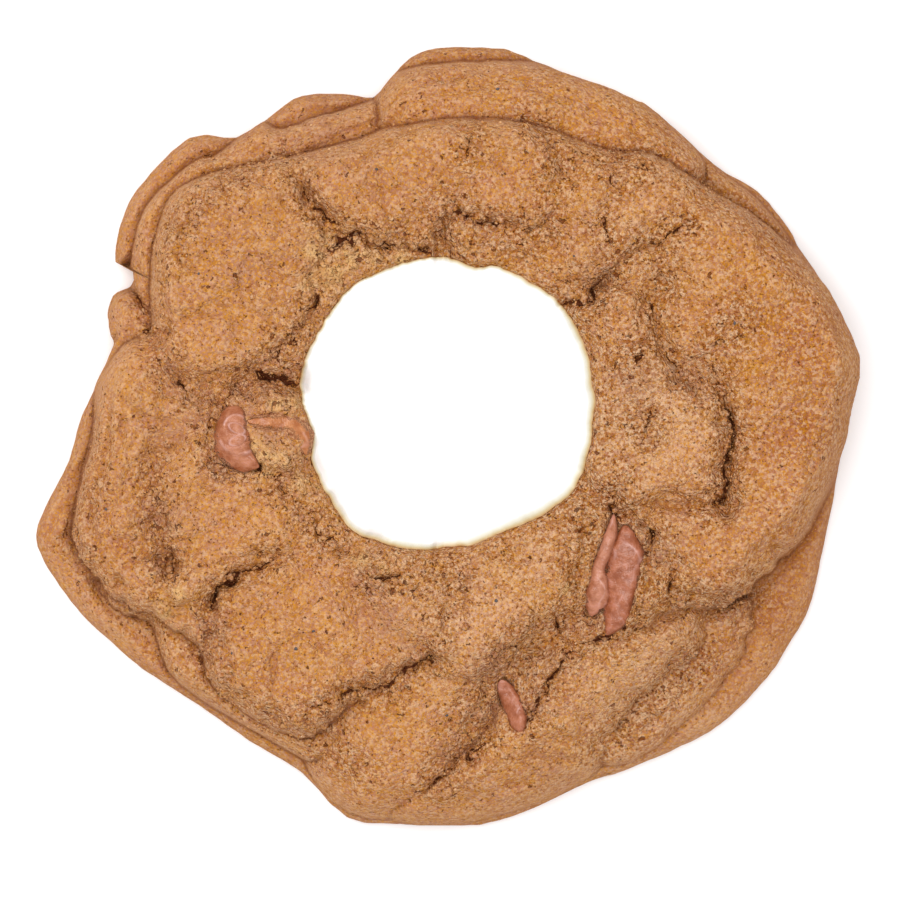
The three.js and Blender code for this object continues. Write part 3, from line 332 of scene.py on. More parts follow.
def along_path(path, x, y):
    """Distance to an open path, negative on its right, and its other numbers at the nearest point."""
    near = np.full(x.shape, np.inf)
    bank = np.ones(x.shape)
    values = np.zeros((len(path[0]) - 2,) + x.shape)
    for a, b in zip(np.array(path, float)[:-1], np.array(path, float)[1:]):
        e = b - a
        t = np.clip(((x - a[0]) * e[0] + (y - a[1]) * e[1]) / (e[0] ** 2 + e[1] ** 2), 0, 1)
        away = (x - a[0] - t * e[0]) ** 2 + (y - a[1] - t * e[1]) ** 2
        closer = away < near
        near = np.where(closer, away, near)
        values = np.where(closer, a[2:, None, None] + t * e[2:, None, None], values)
        bank = np.where(closer, np.where(e[0] * (y - a[1]) > e[1] * (x - a[0]), 1, -1), bank)
    return bank * np.sqrt(near), values


def smooth_path(path, stations):
    """Points along an open Catmull-Rom curve through a path, with its other numbers carried along."""
    p = np.array(path, float)
    p = np.concatenate([[2 * p[0] - p[1]], p, [2 * p[-1] - p[-2]]])
    t = np.linspace(0, len(path) - 1, stations)
    i = np.minimum(t.astype(int), len(path) - 2)
    t = (t - i)[:, None]
    return catmull_rom(p[i], p[i + 1], p[i + 2], p[i + 3], t)


def blur(field, width):
    """A lattice field softened over that width: each wave in it fades by exp(-2 (pi width f)^2)."""
    across = np.fft.rfftfreq(field.shape[1], CELL)
    up = np.fft.fftfreq(field.shape[0], CELL)[:, None]
    fade = np.exp(-2 * (np.pi * width) ** 2 * (across**2 + up**2))
    return np.fft.irfft2(np.fft.rfft2(field) * fade, s=field.shape)


def quarter_round(share):
    """The height of a quarter circle: 0 at share 0, level at share 1."""
    return np.sqrt(1 - (1 - np.clip(share, 0, 1)) ** 2)


def sample(field, x, y):
    """A lattice field read at any place, by the straight-line mean of the four nearest points."""
    u = np.clip((x - LATTICE_X[0]) / CELL, 0, len(LATTICE_X) - 1.001)
    v = np.clip((y - LATTICE_Y[0]) / CELL, 0, len(LATTICE_Y) - 1.001)
    i, j = u.astype(int), v.astype(int)
    u, v = u - i, v - j
    low = field[j, i] * (1 - u) + field[j, i + 1] * u
    high = field[j + 1, i] * (1 - u) + field[j + 1, i + 1] * u
    return low * (1 - v) + high * v


NUMBERS = 4096               # how many random numbers a field of bumps is made from


def scattered(cell):
    """Which of the random numbers belongs to a cell of a cubic lattice, with no pattern to be seen."""
    return (cell[..., 0] * 73 + cell[..., 1] * 1259 + cell[..., 2] * 3571) % NUMBERS


def lumpy(points, size, seed):
    """Smooth random bumps from -1 to 1: random numbers on a lattice of that size, blended with
    t*t*(3-2t) between the eight round each point."""
    numbers = np.random.default_rng(seed).uniform(-1, 1, NUMBERS)
    points = points / size
    cell = np.floor(points).astype(int)
    t = points - cell
    t = t * t * (3 - 2 * t)
    total = 0
    for corner in np.ndindex(2, 2, 2):
        weight = np.prod(np.where(corner, t, 1 - t), axis=-1)
        total = total + numbers[scattered(cell + np.array(corner))] * weight
    return total


def pebbles(points, size, seed):
    """Rounded grains packed side by side: 1 on top of each, 0 in the creases between them. It is
    1 - d*d, with d the distance to the nearest of one random point in each cell of the lattice."""
    numbers = np.random.default_rng(seed).uniform(0, 1, (3, NUMBERS))
    points = points / size
    cell = np.floor(points).astype(int)
    near = np.full(points.shape[:-1], np.inf)
    for step in np.ndindex(3, 3, 3):
        beside = cell + np.array(step) - 1
        seat = beside + np.moveaxis(numbers[:, scattered(beside)], 0, -1)
        near = np.minimum(near, ((points - seat) ** 2).sum(axis=-1))
    return 1 - np.minimum(near, 1)


def slow_bumps(x, y):
    """Bumps of about 8 mm over the whole skin: four sine waves that never line up."""
    return (0.2 * np.sin(0.41 * x + 0.17 * y + 1.3) + 0.2 * np.sin(0.23 * x - 0.47 * y + 0.4)
            + 0.14 * np.sin(0.71 * x + 0.62 * y + 2.1) + 0.14 * np.sin(-0.58 * x + 0.83 * y + 4.2))


lattice = np.stack([grid_x, grid_y, 0 * grid_x], axis=-1)
# Places moved by small random steps, which tears every inner edge as crumb tears. The rim is calmer,
# and so is the crown's edge along its top and left, where it rolled down smoothly.
spread_rim, crown_rim = [inside_distance(smooth_outline(LAYERS[name][-1]), grid_x, grid_y)
                         for name in ("spread", "crown")]
rim = np.maximum(spread_rim, crown_rim)
around = np.degrees(np.arctan2(grid_y - CENTRE[1], grid_x - CENTRE[0]))
rolled = np.exp(-((crown_rim / 3) ** 2)) * np.clip(1.6 - np.abs((around + 75) % 360 - 180) / 60, 0, 1)
torn = np.clip(rim / 5, 0.3, 1) * (1 - 0.65 * rolled)


def tear(seed):
    """A random step for each place: wide waves everywhere, with short ones where it is torn most."""
    short = 0.42 * lumpy(lattice, 1.5, seed + 10) + 0.2 * lumpy(lattice, 0.7, seed + 20)
    return torn * (0.5 * lumpy(lattice, 4.5, seed) + torn * short)


torn_x, torn_y = grid_x + tear(11), grid_y + tear(12)
# Lumpiest down the left, where small pieces of dough baked on; smoothest on the right-hand lobe.
rough_dough = 0.35 + 0.65 * np.clip((12 - grid_x) / 45, 0, 1)

icing_inset = inside_distance(smooth_outline(ICING_OUTLINE), grid_x, grid_y)
relief = -WELL_SLUMP * np.exp(-np.maximum(0, -icing_inset) / WELL_SLUMP_REACH)
for rise, roll, outline in SWELLS.values():
    edge = inside_distance(smooth_outline(outline), torn_x, torn_y) / roll
    relief += 0.75 * rise * np.where(edge > 0, 1 - (1 - np.clip(edge, 0, 1)) ** 2, 0)
for x, y, radius, height in LUMPS:
    relief += height * np.exp(-((torn_x - x) ** 2 + (torn_y - y) ** 2) / radius**2)
for width, path in VALLEYS:
    away, (depth,) = along_path(path, torn_x, torn_y)
    relief -= 0.7 * depth * np.exp(-((away / width) ** 2))
# Small lumps with creases between them: the creases run where slow random bumps pass through zero.
relief -= 0.6 * rough_dough * np.exp(-np.abs(lumpy(lattice, 6.5, 31)) / 0.1)
relief -= 0.35 * rough_dough * np.exp(-np.abs(lumpy(lattice, 3.1, 32)) / 0.16)
relief += 0.5 * rough_dough * lumpy(lattice, 5.2, 33)

# The height of the dough everywhere: layers that melt into one another where they meet.
MELT = 0.15
WALL_SLOPE = 7
# Folds parallel to each layer's edge, as the dough's own weight pressed it down: most on the left.
fold_height = 0.12 + 0.33 * np.clip((np.abs(around + 20) - 90) / 30, 0, 1) * (
    0.5 + 0.5 * lumpy(lattice, 9, 42))
fold_wander = 2.6 * lumpy(lattice, 8, 41)
layer_insets, layer_heights = {}, {}
stacked = 0
for name, (top, foot, roll, *_, lean, outline) in LAYERS.items():
    curve = smooth_outline(outline)
    inset = layer_insets[name] = inside_distance(curve, torn_x, torn_y)
    middle = curve.mean(axis=0)
    height = top + lean[0] * (grid_x - middle[0]) + lean[1] * (grid_y - middle[1])
    height += top / CROWN_HEIGHT * slow_bumps(grid_x, grid_y)
    if name == "crown":
        height += relief
    shoulder = foot + (height - foot) * quarter_round(inset / roll)
    shoulder += fold_height * np.cos(2 * np.pi * (inset + fold_wander) / 2.9) * np.exp(
        -((inset - 2.8) / 2.4) ** 2)
    layer_heights[name] = shoulder + WALL_SLOPE * np.minimum(inset, 0)
    stacked = stacked + np.exp(layer_heights[name] / MELT)
skin = MELT * np.log(np.maximum(stacked, 1))
body_inset = np.maximum.reduce(list(layer_insets.values()))


def steepness(height):
    """How much a lattice field rises in a millimetre, where it rises fastest."""
    return np.hypot(*np.gradient(height, CELL))


# Where one layer lies on another: the way to the line where they meet, above 0 on the steeper one,
# and how sharply they meet. The way is the difference of their heights over its own steepness.
fold_side = np.full(grid_x.shape, NO_EDGE)
fold_shows = np.zeros(grid_x.shape)
for name, height in layer_heights.items():
    others = np.maximum.reduce([h for other, h in layer_heights.items() if other != name])
    steep = steepness(height - others)
    away = np.sign(steepness(height) - steepness(others)) * (height - others) / np.maximum(steep, 0.5)
    near = (np.abs(away) < np.abs(fold_side)) & (others > 0.5) & (steep > 0.9)
    fold_side = np.where(near, away, fold_side)
    shows = np.clip((steep - 0.9) / 1.2, 0, 1) * np.clip(others - 0.5, 0, 1)
    fold_shows = np.where(near, shows, fold_shows)
fold_shows = blur(fold_shows * (steepness(fold_side) < 1.8), 0.3)
# At the lower right the folds melted into one another.
fold_shows *= 1 - 0.75 * np.exp(-(((around + 50) / 30) ** 2))
skin -= 0.5 * fold_shows * np.exp(-((fold_side / 0.35) ** 2))

# Every hollow deepened and every lip raised by up to 0.4 mm, as a crust sets.
crisp = skin - blur(skin, 1.1)
skin += 0.4 * np.tanh(crisp) * np.clip(body_inset / 2.5, 0, 1)
seam = np.full(grid_x.shape, NO_EDGE)        # distance to the nearest crease or crack
for path in CREASES:
    away, (depth,) = along_path(path, torn_x, torn_y)
    seam = np.minimum(seam, np.abs(away))
    skin -= 0.8 * depth * np.exp(-np.abs(away) / 0.4)


def left_of(line):
    """The direction square to a line of points, to its left, at each of them."""
    step = np.gradient(line[:, :2], axis=0)
    step /= np.linalg.norm(step, axis=1, keepdims=True)
    return np.stack([-step[:, 1], step[:, 0]], axis=-1)


# The chips' seats, pressed in with ragged banks. The thin smear's is the shallowest.
STATIONS = 90                # points along each chip's path
chip_bed = blur(skin, 1.3)
chip_inset = np.full(grid_x.shape, -NO_EDGE)
seat_depth = np.full(grid_x.shape, 0.9)
chip_lines = {}
for name, path in CHIPS.items():
    line = chip_lines[name] = smooth_path(path, STATIONS)
    middle, side = line[:, :2], left_of(line)
    banks = np.concatenate([middle + side * line[:, 2:3], (middle - side * line[:, 3:4])[::-1]])
    here = inside_distance(banks, grid_x, grid_y)
    chip_inset = np.maximum(chip_inset, here)
    if name == "chip_left_smear":
        seat_depth[here > -0.6] = 0.5
seat = np.clip((chip_inset + 0.2 + 0.3 * lumpy(lattice, 1.1, 61)) / 0.5, 0, 1)
skin -= seat_depth * seat * seat * (3 - 2 * seat)

CLOSED = -5.0                            # the width where no crack is
crack_side = np.full(grid_x.shape, NO_EDGE)  # signed distance from the nearest crack's line
crack_width = np.full(grid_x.shape, CLOSED)  # that crack's half width there, below 0 away from it
# A crack in crumb is ragged, and closes here and there where crumbs bridge it.
ragged_x, ragged_y = torn_x + 0.4 * lumpy(lattice, 0.8, 63), torn_y + 0.4 * lumpy(lattice, 0.8, 64)
bridged = np.clip(0.75 + 1.3 * lumpy(lattice, 1.9, 62), 0, 1.3)
for path in CRACKS:
    away, (half_width, depth) = along_path(path, ragged_x, ragged_y)
    open_by = half_width * (bridged if len(path) > 3 else 1)
    near = np.abs(away) < np.abs(crack_side)
    crack_side = np.where(near, away, crack_side)
    narrowed = 0.6 * open_by - 3 * np.maximum(np.abs(away) - 0.9, 0) - 0.04
    crack_width = np.where(near, narrowed, crack_width)
    seam = np.minimum(seam, np.abs(away))
    skin -= 0.5 * depth * np.clip(0.15 + open_by / half_width, 0, 1) * np.clip(
        1.1 - np.abs(away) / (0.45 * open_by + 0.22), 0, 1)
# The crumb is craggiest along the seams, round the well and down the left.
craggy = np.clip(1.25 - seam / 3.5, 0, 1) * 0.7 + 0.45 * np.clip(1.1 + icing_inset / 9, 0, 1)
craggy = np.clip((craggy + 0.25 * rough_dough) * np.clip(rim / 6, 0.2, 1), 0, 1)
# Round crumbs that stuck to it there.
skin += craggy * np.clip(body_inset, 0, 1) * (0.55 * (pebbles(lattice, 1.3, 35) - 0.62) + 0.45 * (
    pebbles(lattice, 2.3, 36) - 0.62))

# The grain shows most on the right, where the crust is driest, and least on the left.
crisp_grain = np.clip(1.02 + 0.3 * np.cos(np.radians(around + 10)), 0.75, 1.32)
# How deep each place lies below the dough round it: painted shade for the creases and hollows.
cavity = np.clip((blur(skin, 0.6) - skin) / 0.5, 0, 1) * 0.7
cavity += np.clip((blur(skin, 2) - skin) / 2, 0, 1) * 0.4
cavity *= np.clip(body_inset / 1.5, 0, 1)
# How far each place stands above the dough round it, for a pale painted highlight on the crests.
ridge = np.clip((skin - blur(skin, 0.8)) / 0.45, 0, 1) * np.clip(body_inset / 1.5, 0, 1)
# The oven browned the rim more than the middle, and the upper right more than the rest.
browned = np.clip(0.15 + 0.9 * np.cos(np.radians(around - 45)), 0.28, 1)
browned *= np.clip((-icing_inset - 2) / 20, 0, 1)

# The columns of the skin: where each meets the well, each layer's edge and the outside.
angle = np.linspace(0, 2 * np.pi, COLUMNS, endpoint=False)
RAY_START, RAY_END, RAY_STEP = 12, 64, 0.1
reach = np.arange(RAY_START, RAY_END, RAY_STEP)
ray_x = CENTRE[0] + np.cos(angle)[:, None] * reach
ray_y = CENTRE[1] + np.sin(angle)[:, None] * reach


def last_crossing(field, x, y):
    """How far out each column is when it leaves a field's positive part for the last time."""
    values = sample(field, x, y)
    last = values.shape[1] - 1 - np.argmax(values[:, ::-1] > 0, axis=1)
    found = (values > 0).any(axis=1) & (last < values.shape[1] - 1)
    last = np.minimum(last, values.shape[1] - 2)
    row = np.arange(len(values))
    here, after = values[row, last], values[row, last + 1]
    share = np.clip(here / np.maximum(here - after, 1e-6), 0, 1)
    return np.where(found, reach[last] + share * RAY_STEP, NOWHERE)


def eased(values, steps):
    """Each column's values as the mean over so many columns on either side of it."""
    return sum(np.roll(values, k, axis=0) for k in range(-steps, steps + 1)) / (2 * steps + 1)


outer = last_crossing(body_inset, ray_x, ray_y)
layer_reach = {name: last_crossing(field, ray_x, ray_y) for name, field in layer_insets.items()}
ring = np.stack([np.cos(angle), np.sin(angle), 0 * angle], axis=-1) * WELL_RADIUS
well_reach = last_crossing(icing_inset, ray_x, ray_y)
well_reach += 0.2 * lumpy(ring, 3.6, 51) + 0.07 * lumpy(ring, 1.1, 52)

# Rows of the top at even steps along its slope, so that steep banks get as many as level ground.
profile = sample(skin, ray_x, ray_y)
slope = np.gradient(profile, reach, axis=1)
cost = np.sqrt(1 + np.clip(slope, -3, 3) ** 2)
on_top = (reach > well_reach[:, None]) & (reach < outer[:, None])
travelled = np.cumsum(cost * on_top, axis=1)
spread_out = np.linspace(0, 1, TOP_ROWS)
even = np.array([np.interp(spread_out * total[-1], total, reach) for total in travelled])
mapped = (even - well_reach[:, None]) / (outer - well_reach)[:, None]
share = 0.85 * np.clip(eased(mapped, 4), 0, 1) + 0.15 * spread_out
# Where the outline jumps, only the outer rows jump with it.
near_by = eased(outer, 8)
top_reach = well_reach[:, None] + share * (near_by - well_reach)[:, None]
top_reach += share**6 * (outer - near_by)[:, None]
top_reach[:, 0], top_reach[:, -1] = well_reach, outer


def skin_rows():
    """The whole skin as rows of points round the well's middle: the well's floor and wall, the top
    out to the widest edge, the side as the furthest reach of any layer at each height, and the
    base. It closes on a point at each end."""
    well = np.repeat(well_reach[:, None], 2, axis=1)
    z = sample(skin, CENTRE[0] + np.cos(angle)[:, None] * top_reach,
               CENTRE[1] + np.sin(angle)[:, None] * top_reach)
    lip = np.clip((top_reach - well_reach[:, None]) / 0.9, 0, 1)
    z -= 0.45 * (1 - quarter_round(lip))
    levels = z[:, -1:] * (1 - np.linspace(0, 1, SIDE_ROWS + 1)[1:])
    side = np.full(levels.shape, NOWHERE)
    for name, (top, foot, roll, undercut, floor, *_) in LAYERS.items():
        below = np.clip((levels - floor) / (foot - floor), 0, 1)
        above = np.clip((levels - foot) / (top - foot), 0, 1)
        inward = np.where(levels < foot, undercut * (1 - np.sin(np.pi / 2 * below)),
                          roll * (1 - np.sqrt(1 - above**2)))
        there = layer_reach[name][:, None] - inward
        side = np.maximum(side, np.where(levels >= floor, there, NOWHERE))
    side = np.minimum(side, outer[:, None])
    base = side[:, -1:] * [0.97, 0.5]
    r = np.concatenate([well * [0.4, 0.96], well, top_reach, side, base], axis=1)
    z = np.concatenate([0 * well + WELL_FLOOR, WELL_FLOOR + (z[:, :1] - WELL_FLOOR) * [0, 0.5],
                        z, levels, 0 * base], axis=1)
    return CENTRE[0] + r * np.cos(angle)[:, None], CENTRE[1] + r * np.sin(angle)[:, None], z


def ring_mesh(name, x, y, z, low_point, high_point):
    """A closed mesh from rows of points round a middle: columns by rows, joined row to row, with a
    fan to one point inside the first row and to another inside the last."""
    columns, rows = x.shape
    points = np.concatenate([np.stack([x, y, z], axis=-1).reshape(-1, 3), [low_point, high_point]])
    column = np.arange(columns)[:, None]
    beside = (column + 1) % columns
    row = np.arange(rows - 1)[None, :]
    a, b = column * rows + row, beside * rows + row
    quads = np.stack([a, a + 1, b + 1, b], axis=-1).reshape(-1, 4)
    first, last = columns * rows, columns * rows + 1
    column, beside = column[:, 0], beside[:, 0]
    fan_in = np.stack([column * rows, beside * rows, np.full(columns, first)], axis=-1)
    fan_out = np.stack([beside * rows + rows - 1, column * rows + rows - 1,
                        np.full(columns, last)], axis=-1)
    return mesh_from(name, points, [quads, fan_in, fan_out])


def mesh_from(name, points, face_groups):
    """A smooth mesh from an array of points in millimetres and arrays of faces of equal length."""
    mesh = bpy.data.meshes.new(name)
    corners = np.concatenate([g.reshape(-1) for g in face_groups])
    sizes = np.concatenate([np.full(len(g), g.shape[1]) for g in face_groups])
    mesh.vertices.add(len(points))
    mesh.vertices.foreach_set("co", (np.asarray(points) * MM).astype(np.float32).reshape(-1))
    mesh.loops.add(len(corners))
    mesh.loops.foreach_set("vertex_index", corners.astype(np.int32))
    mesh.polygons.add(len(sizes))
    mesh.polygons.foreach_set("loop_start", (np.cumsum(sizes) - sizes).astype(np.int32))
    mesh.polygons.foreach_set("use_smooth", np.full(len(sizes), True))
    mesh.update(calc_edges=True)
    mesh.validate()
    piece = bpy.data.objects.new(name, mesh)
    bpy.context.scene.collection.objects.link(piece)
    return piece


def add_value(piece, name, values):
    """Stores one number for each point of a piece, for its material to read."""
    piece.data.attributes.new(name, "FLOAT", "POINT").data.foreach_set(
        "value", np.asarray(values, np.float32).reshape(-1))


def outward(x, y, z):
    """The direction square to a surface of columns by rows, from its steps both ways."""
    p = np.stack([x, y, z], axis=-1)
    round_it = np.roll(p, -1, axis=0) - np.roll(p, 1, axis=0)
    along = np.gradient(p, axis=1)
    normal = np.cross(along, round_it)
    length = np.linalg.norm(normal, axis=-1, keepdims=True)
    return normal / np.maximum(length, 1e-9)


x, y, z = skin_rows()
normal = outward(x, y, z)
place = np.stack([x, y, z], axis=-1)
from_edge = sample(body_inset, x, y)
# The crumb's own relief: coarse high up and down the left, faint on the skirt and at the edge.
hidden = (np.arange(x.shape[1]) < WELL_ROWS)[None, :] | (z < 0.02)
coarse = np.clip((z - 5) / 7, 0.3, 1) * np.clip(0.3 + from_edge / 6, 0, 1) * (
    0.7 + 0.5 * sample(rough_dough, x, y))
grain = 0.14 * lumpy(place, 2.4, 1) + 0.12 * (pebbles(place, 1.5, 2) - 0.6) + 0.1 * lumpy(place, 0.9, 4)
lift = np.where(hidden, 0, grain * coarse * np.clip(z / 1.5, 0, 1))
place = place + normal * lift[..., None]
# It stays a little inside the CAD box, and its base on the tray.
MARGIN = 0.05
low, high = np.array(cad_box[0]) / MM + MARGIN, np.array(cad_box[1]) / MM - MARGIN
low[2] = 0
place = np.clip(place, low, high)
x, y, z = place[..., 0], place[..., 1], place[..., 2]
skin_points, skin_normals = place, normal
cookie = ring_mesh("cookie_crumb", x, y, z, (*CENTRE, WELL_FLOOR), (*CENTRE, 0))


def soft_spot(x, y, sx, sy, radius):
    """1 at a spot's middle, fading away round it as exp(-d*d/(radius*radius))."""
    return np.exp(-((x - sx) ** 2 + (y - sy) ** 2) / radius**2)


def patch(x, y, spots):
    """Soft round patches: 1.2 times the soft spot whose value is largest there, cut off at 1."""
    return np.clip(1.2 * np.maximum.reduce([soft_spot(x, y, *spot) for spot in spots]), 0, 1)


def tone_at(x, y):
    """How much paler than the rest the dough is, below 0 where it is browner: soft spots added up."""
    return sum(amount * soft_spot(x, y, sx, sy, radius) for sx, sy, radius, amount in TONES)


# What the material reads at each point: lattice fields, and patches at the torn places.
fields = {
    "crack_side": crack_side, "crack_width": crack_width, "cavity": cavity, "ridge": ridge,
    "browned": browned, "craggy": craggy, "crisp_grain": crisp_grain,
    "fold_side": np.clip(fold_side, -3, 3), "fold_shows": fold_shows,
    "skirt": np.clip(1.45 - np.abs(around - 5) / 60, 0.15, 1)}
marks = {name: sample(field, x, y) for name, field in fields.items()}
marks["skirt"] *= np.clip((11 - z) / 6, 0, 1)
mark_x, mark_y = sample(torn_x, x, y), sample(torn_y, x, y)
marks["paler"] = tone_at(mark_x, mark_y)
marks["toasted"] = patch(mark_x, mark_y, TOASTED) * np.clip((z - 2) / 3, 0, 1)
marks["pale"] = patch(mark_x, mark_y, PALE_CRAGS)
marks["purple"] = patch(mark_x, mark_y, COOL_SHADE_PATCHES)
for name, values in marks.items():
    add_value(cookie, name, np.append(values, [0, 0]))


class Value:
    """One number in a material, worked with as in arithmetic; each operator adds its Math node.
    Colours and places are carried by it too, but go through Mix and Vector Math nodes."""

    def __init__(self, maker, socket):
        self.maker, self.socket = maker, socket

    def _math(self, operation, a, b=None):
        inputs = {0: a} if b is None else {0: a, 1: b}
        return self.maker.node("Math", {"operation": operation}, inputs)

    def __add__(self, other):
        return self._math("ADD", self, other)

    def __radd__(self, other):
        return self._math("ADD", other, self)

    def __sub__(self, other):
        return self._math("SUBTRACT", self, other)

    def __rsub__(self, other):
        return self._math("SUBTRACT", other, self)

    def __mul__(self, other):
        return self._math("MULTIPLY", self, other)

    def __rmul__(self, other):
        return self._math("MULTIPLY", other, self)

    def __truediv__(self, other):
        return self._math("DIVIDE", self, other)

    def most(self, other):
        """The larger of the two."""
        return self._math("MAXIMUM", self, other)

    def unsigned(self):
        """Its size without its sign."""
        return self._math("ABSOLUTE", self)

    def ramp(self, start, end):
        """0 up to start, 1 from end on, and smooth between."""
        return self.maker.node("Map Range", {"interpolation_type": "SMOOTHSTEP"},
                               {"Value": self, "From Min": start, "From Max": end})


LIGHT = 1.27   # how many times brighter than paper white the light makes a level surface


def seen(red, green, blue):
    """The surface colour that looks like this one, 0 to 255 as on a screen, in the scene's light."""
    c = np.array([red, green, blue]) / 255
    c = np.where(c > 0.04045, ((c + 0.055) / 1.055) ** 2.4, c / 12.92) / LIGHT
    return tuple(float(v) for v in c)


class Finish:
    """A material under construction: one method makes any node."""

    TYPES = {"Math": "ShaderNodeMath", "Map Range": "ShaderNodeMapRange", "Mix": "ShaderNodeMix",
             "Noise": "ShaderNodeTexNoise", "Voronoi": "ShaderNodeTexVoronoi", "Bump": "ShaderNodeBump",
             "Attribute": "ShaderNodeAttribute", "Coordinates": "ShaderNodeTexCoord",
             "Vector Math": "ShaderNodeVectorMath", "Ramp": "ShaderNodeValToRGB",
             "Separate": "ShaderNodeSeparateXYZ"}

    def __init__(self, name, **constants):
        self.material = bpy.data.materials.new(name)
        self.material.use_nodes = True
        self.tree = self.material.node_tree
        self.shader = next(n for n in self.tree.nodes if n.type == "BSDF_PRINCIPLED")
        for socket, value in constants.items():
            self.shader.inputs[socket.replace("_", " ")].default_value = value

    def node(self, kind, settings=None, inputs=None, output=0):
        """Adds a node with its settings and inputs, and gives back one of its outputs."""
        made = self.tree.nodes.new(self.TYPES[kind])
        for setting, value in (settings or {}).items():
            if setting == "stops":
                self._set_stops(made.color_ramp, value)
            else:
                setattr(made, setting, value)
        for socket, value in (inputs or {}).items():
            self.feed(made.inputs[socket], value)
        return Value(self, made.outputs[output])

    def _set_stops(self, ramp, stops):
        while len(ramp.elements) < len(stops):
            ramp.elements.new(0.5)
        for element, (at, colour) in zip(ramp.elements, stops):
            element.position = at
            element.color = (*colour, 1)

    def feed(self, socket, value):
        """Links a value to an input, or sets the input to a number or a colour."""
        if isinstance(value, Value):
            self.tree.links.new(value.socket, socket)
        else:
            socket.default_value = value

    def mix(self, share, low, high):
        """Low where share is 0, high where it is 1."""
        low, high = [c if isinstance(c, Value) else (*c, 1) for c in (low, high)]
        return self.node("Mix", {"data_type": "RGBA", "clamp_factor": True},
                         {0: share, 6: low, 7: high}, 2)

    def paint(self, colour, layers):
        """Makes the surface this colour with others laid over it in turn, each by its own share."""
        for share, over in layers:
            colour = self.mix(share, colour, over)
        self.feed(self.shader.inputs["Base Color"], colour)

    def raise_by(self, height):
        """Relief of so many millimetres, too fine for the mesh."""
        self.feed(self.shader.inputs["Normal"], self.node("Bump", {}, {
            "Strength": 1.0, "Distance": MM, "Height": height}))

    def noise(self, where, size, detail=2.0, rough=0.5):
        """Cloudy noise whose blobs are about size millimetres across."""
        return self.node("Noise", {}, {"Vector": where, "Scale": 1 / size,
                                       "Detail": detail, "Roughness": rough})

    def grains(self, where, size, output=0, feature="F1"):
        """Distance to the nearest of scattered grains, about size millimetres apart, or with
        output 1 that grain's own random colour."""
        return self.node("Voronoi", {"feature": feature}, {"Vector": where, "Scale": 1 / size}, output)

    def other(self, value, output):
        """Another output of the node that this value comes from."""
        return Value(self, value.socket.node.outputs[output])

    def split(self, colour):
        """The red part of a colour, as one number."""
        return self.node("Separate", {}, {"Vector": colour})

    def read(self, name):
        """The number that the piece's points store under a name."""
        return self.node("Attribute", {"attribute_name": name}, output=2)

    def millimetres(self):
        """The place on the piece, in millimetres."""
        here = self.node("Coordinates", output=3)
        return self.node("Vector Math", {"operation": "SCALE"}, {0: here, "Scale": 1 / MM})


crumb = Finish("baked_gingerbread", Specular_IOR_Level=0.06)
where = crumb.millimetres()
shift = crumb.node("Noise", {}, {"Vector": where, "Scale": 1.3, "Detail": 1, "Roughness": 0.7}, 1)
bent = crumb.node("Vector Math", {"operation": "MULTIPLY_ADD"}, {0: shift, 1: (0.6, 0.6, 0.6), 2: where})
swirl = crumb.noise(where, 1.5, 3, 0.6)
fine = crumb.noise(where, 0.33, 2, 0.75)
patchy = crumb.noise(where, 6.5, 2, 0.55)
hue = crumb.noise(where, 2.2, 3, 0.65)
tiny = crumb.noise(where, 0.5, 2, 0.6)
grain_near = crumb.grains(where, 0.42)
grain_tone = crumb.split(crumb.other(grain_near, 1))
grain_hue = crumb.split(crumb.grains(where, 0.22, output=1))
fleck_hue = crumb.noise(where, 0.26, 1, 0.5)
hole_near = crumb.noise(bent, 1.1, 2, 0.6)
wrinkle_near = crumb.grains(bent, 2.4, feature="DISTANCE_TO_EDGE")
wrinkle_chance = crumb.noise(where, 1.3, 1, 0.5)

craggy_here = crumb.read("craggy")
fold_way = crumb.read("fold_side") + (tiny - 0.5) * 0.12
# A dark painted shadow at the foot of each fold, for the shade under the upper layer's edge, and a pale
# painted highlight on that edge.
painted_fold_shadow = (1 - (fold_way + 0.06).unsigned().ramp(0.04, 0.3)) * crumb.read("fold_shows")
painted_fold_highlight = (1 - (fold_way - 0.55).unsigned().ramp(0.05, 0.45)) * crumb.read("fold_shows")
crack_way = crumb.read("crack_side") + (swirl - 0.5) * 0.5 + (fine - 0.5) * 0.5
crack_gap = crack_way.unsigned() + (grain_tone - 0.5) * 0.3
crack_gap = crack_gap - crumb.read("crack_width") * (swirl * 1.6 + 0.2)
in_crack = 1 - crack_gap.ramp(-0.08, 0.05)
painted_crack_bank_shade = 1 - crack_gap.ramp(0.0, 0.5)
skirt = crumb.read("skirt")
contrast = (1 - skirt * 0.45) * (0.36 + craggy_here * 0.45) * (0.5 + swirl * 1.3) * crumb.read("crisp_grain")
pit = (1 - (tiny - craggy_here * 0.05).ramp(0.25, 0.34)) * (1 - skirt * 0.5)
hole = (1 - (hole_near - craggy_here * 0.07).ramp(0.25, 0.31)) * (1 - skirt)
painted_wrinkle_shade = (1 - wrinkle_near.ramp(0.015, 0.05)) * wrinkle_chance.ramp(0.6, 0.68) * (1 - skirt * 0.8)
grain_top = (1 - grain_near * 1.4).most(0)
relief_here = (grain_top * 0.24 + fine * 0.34 + tiny * 0.3) * (contrast + 0.08) + swirl * 0.22
crumb.raise_by(relief_here - pit * 0.18 - hole * 0.4 - in_crack * 0.4)

paler = crumb.read("paler")
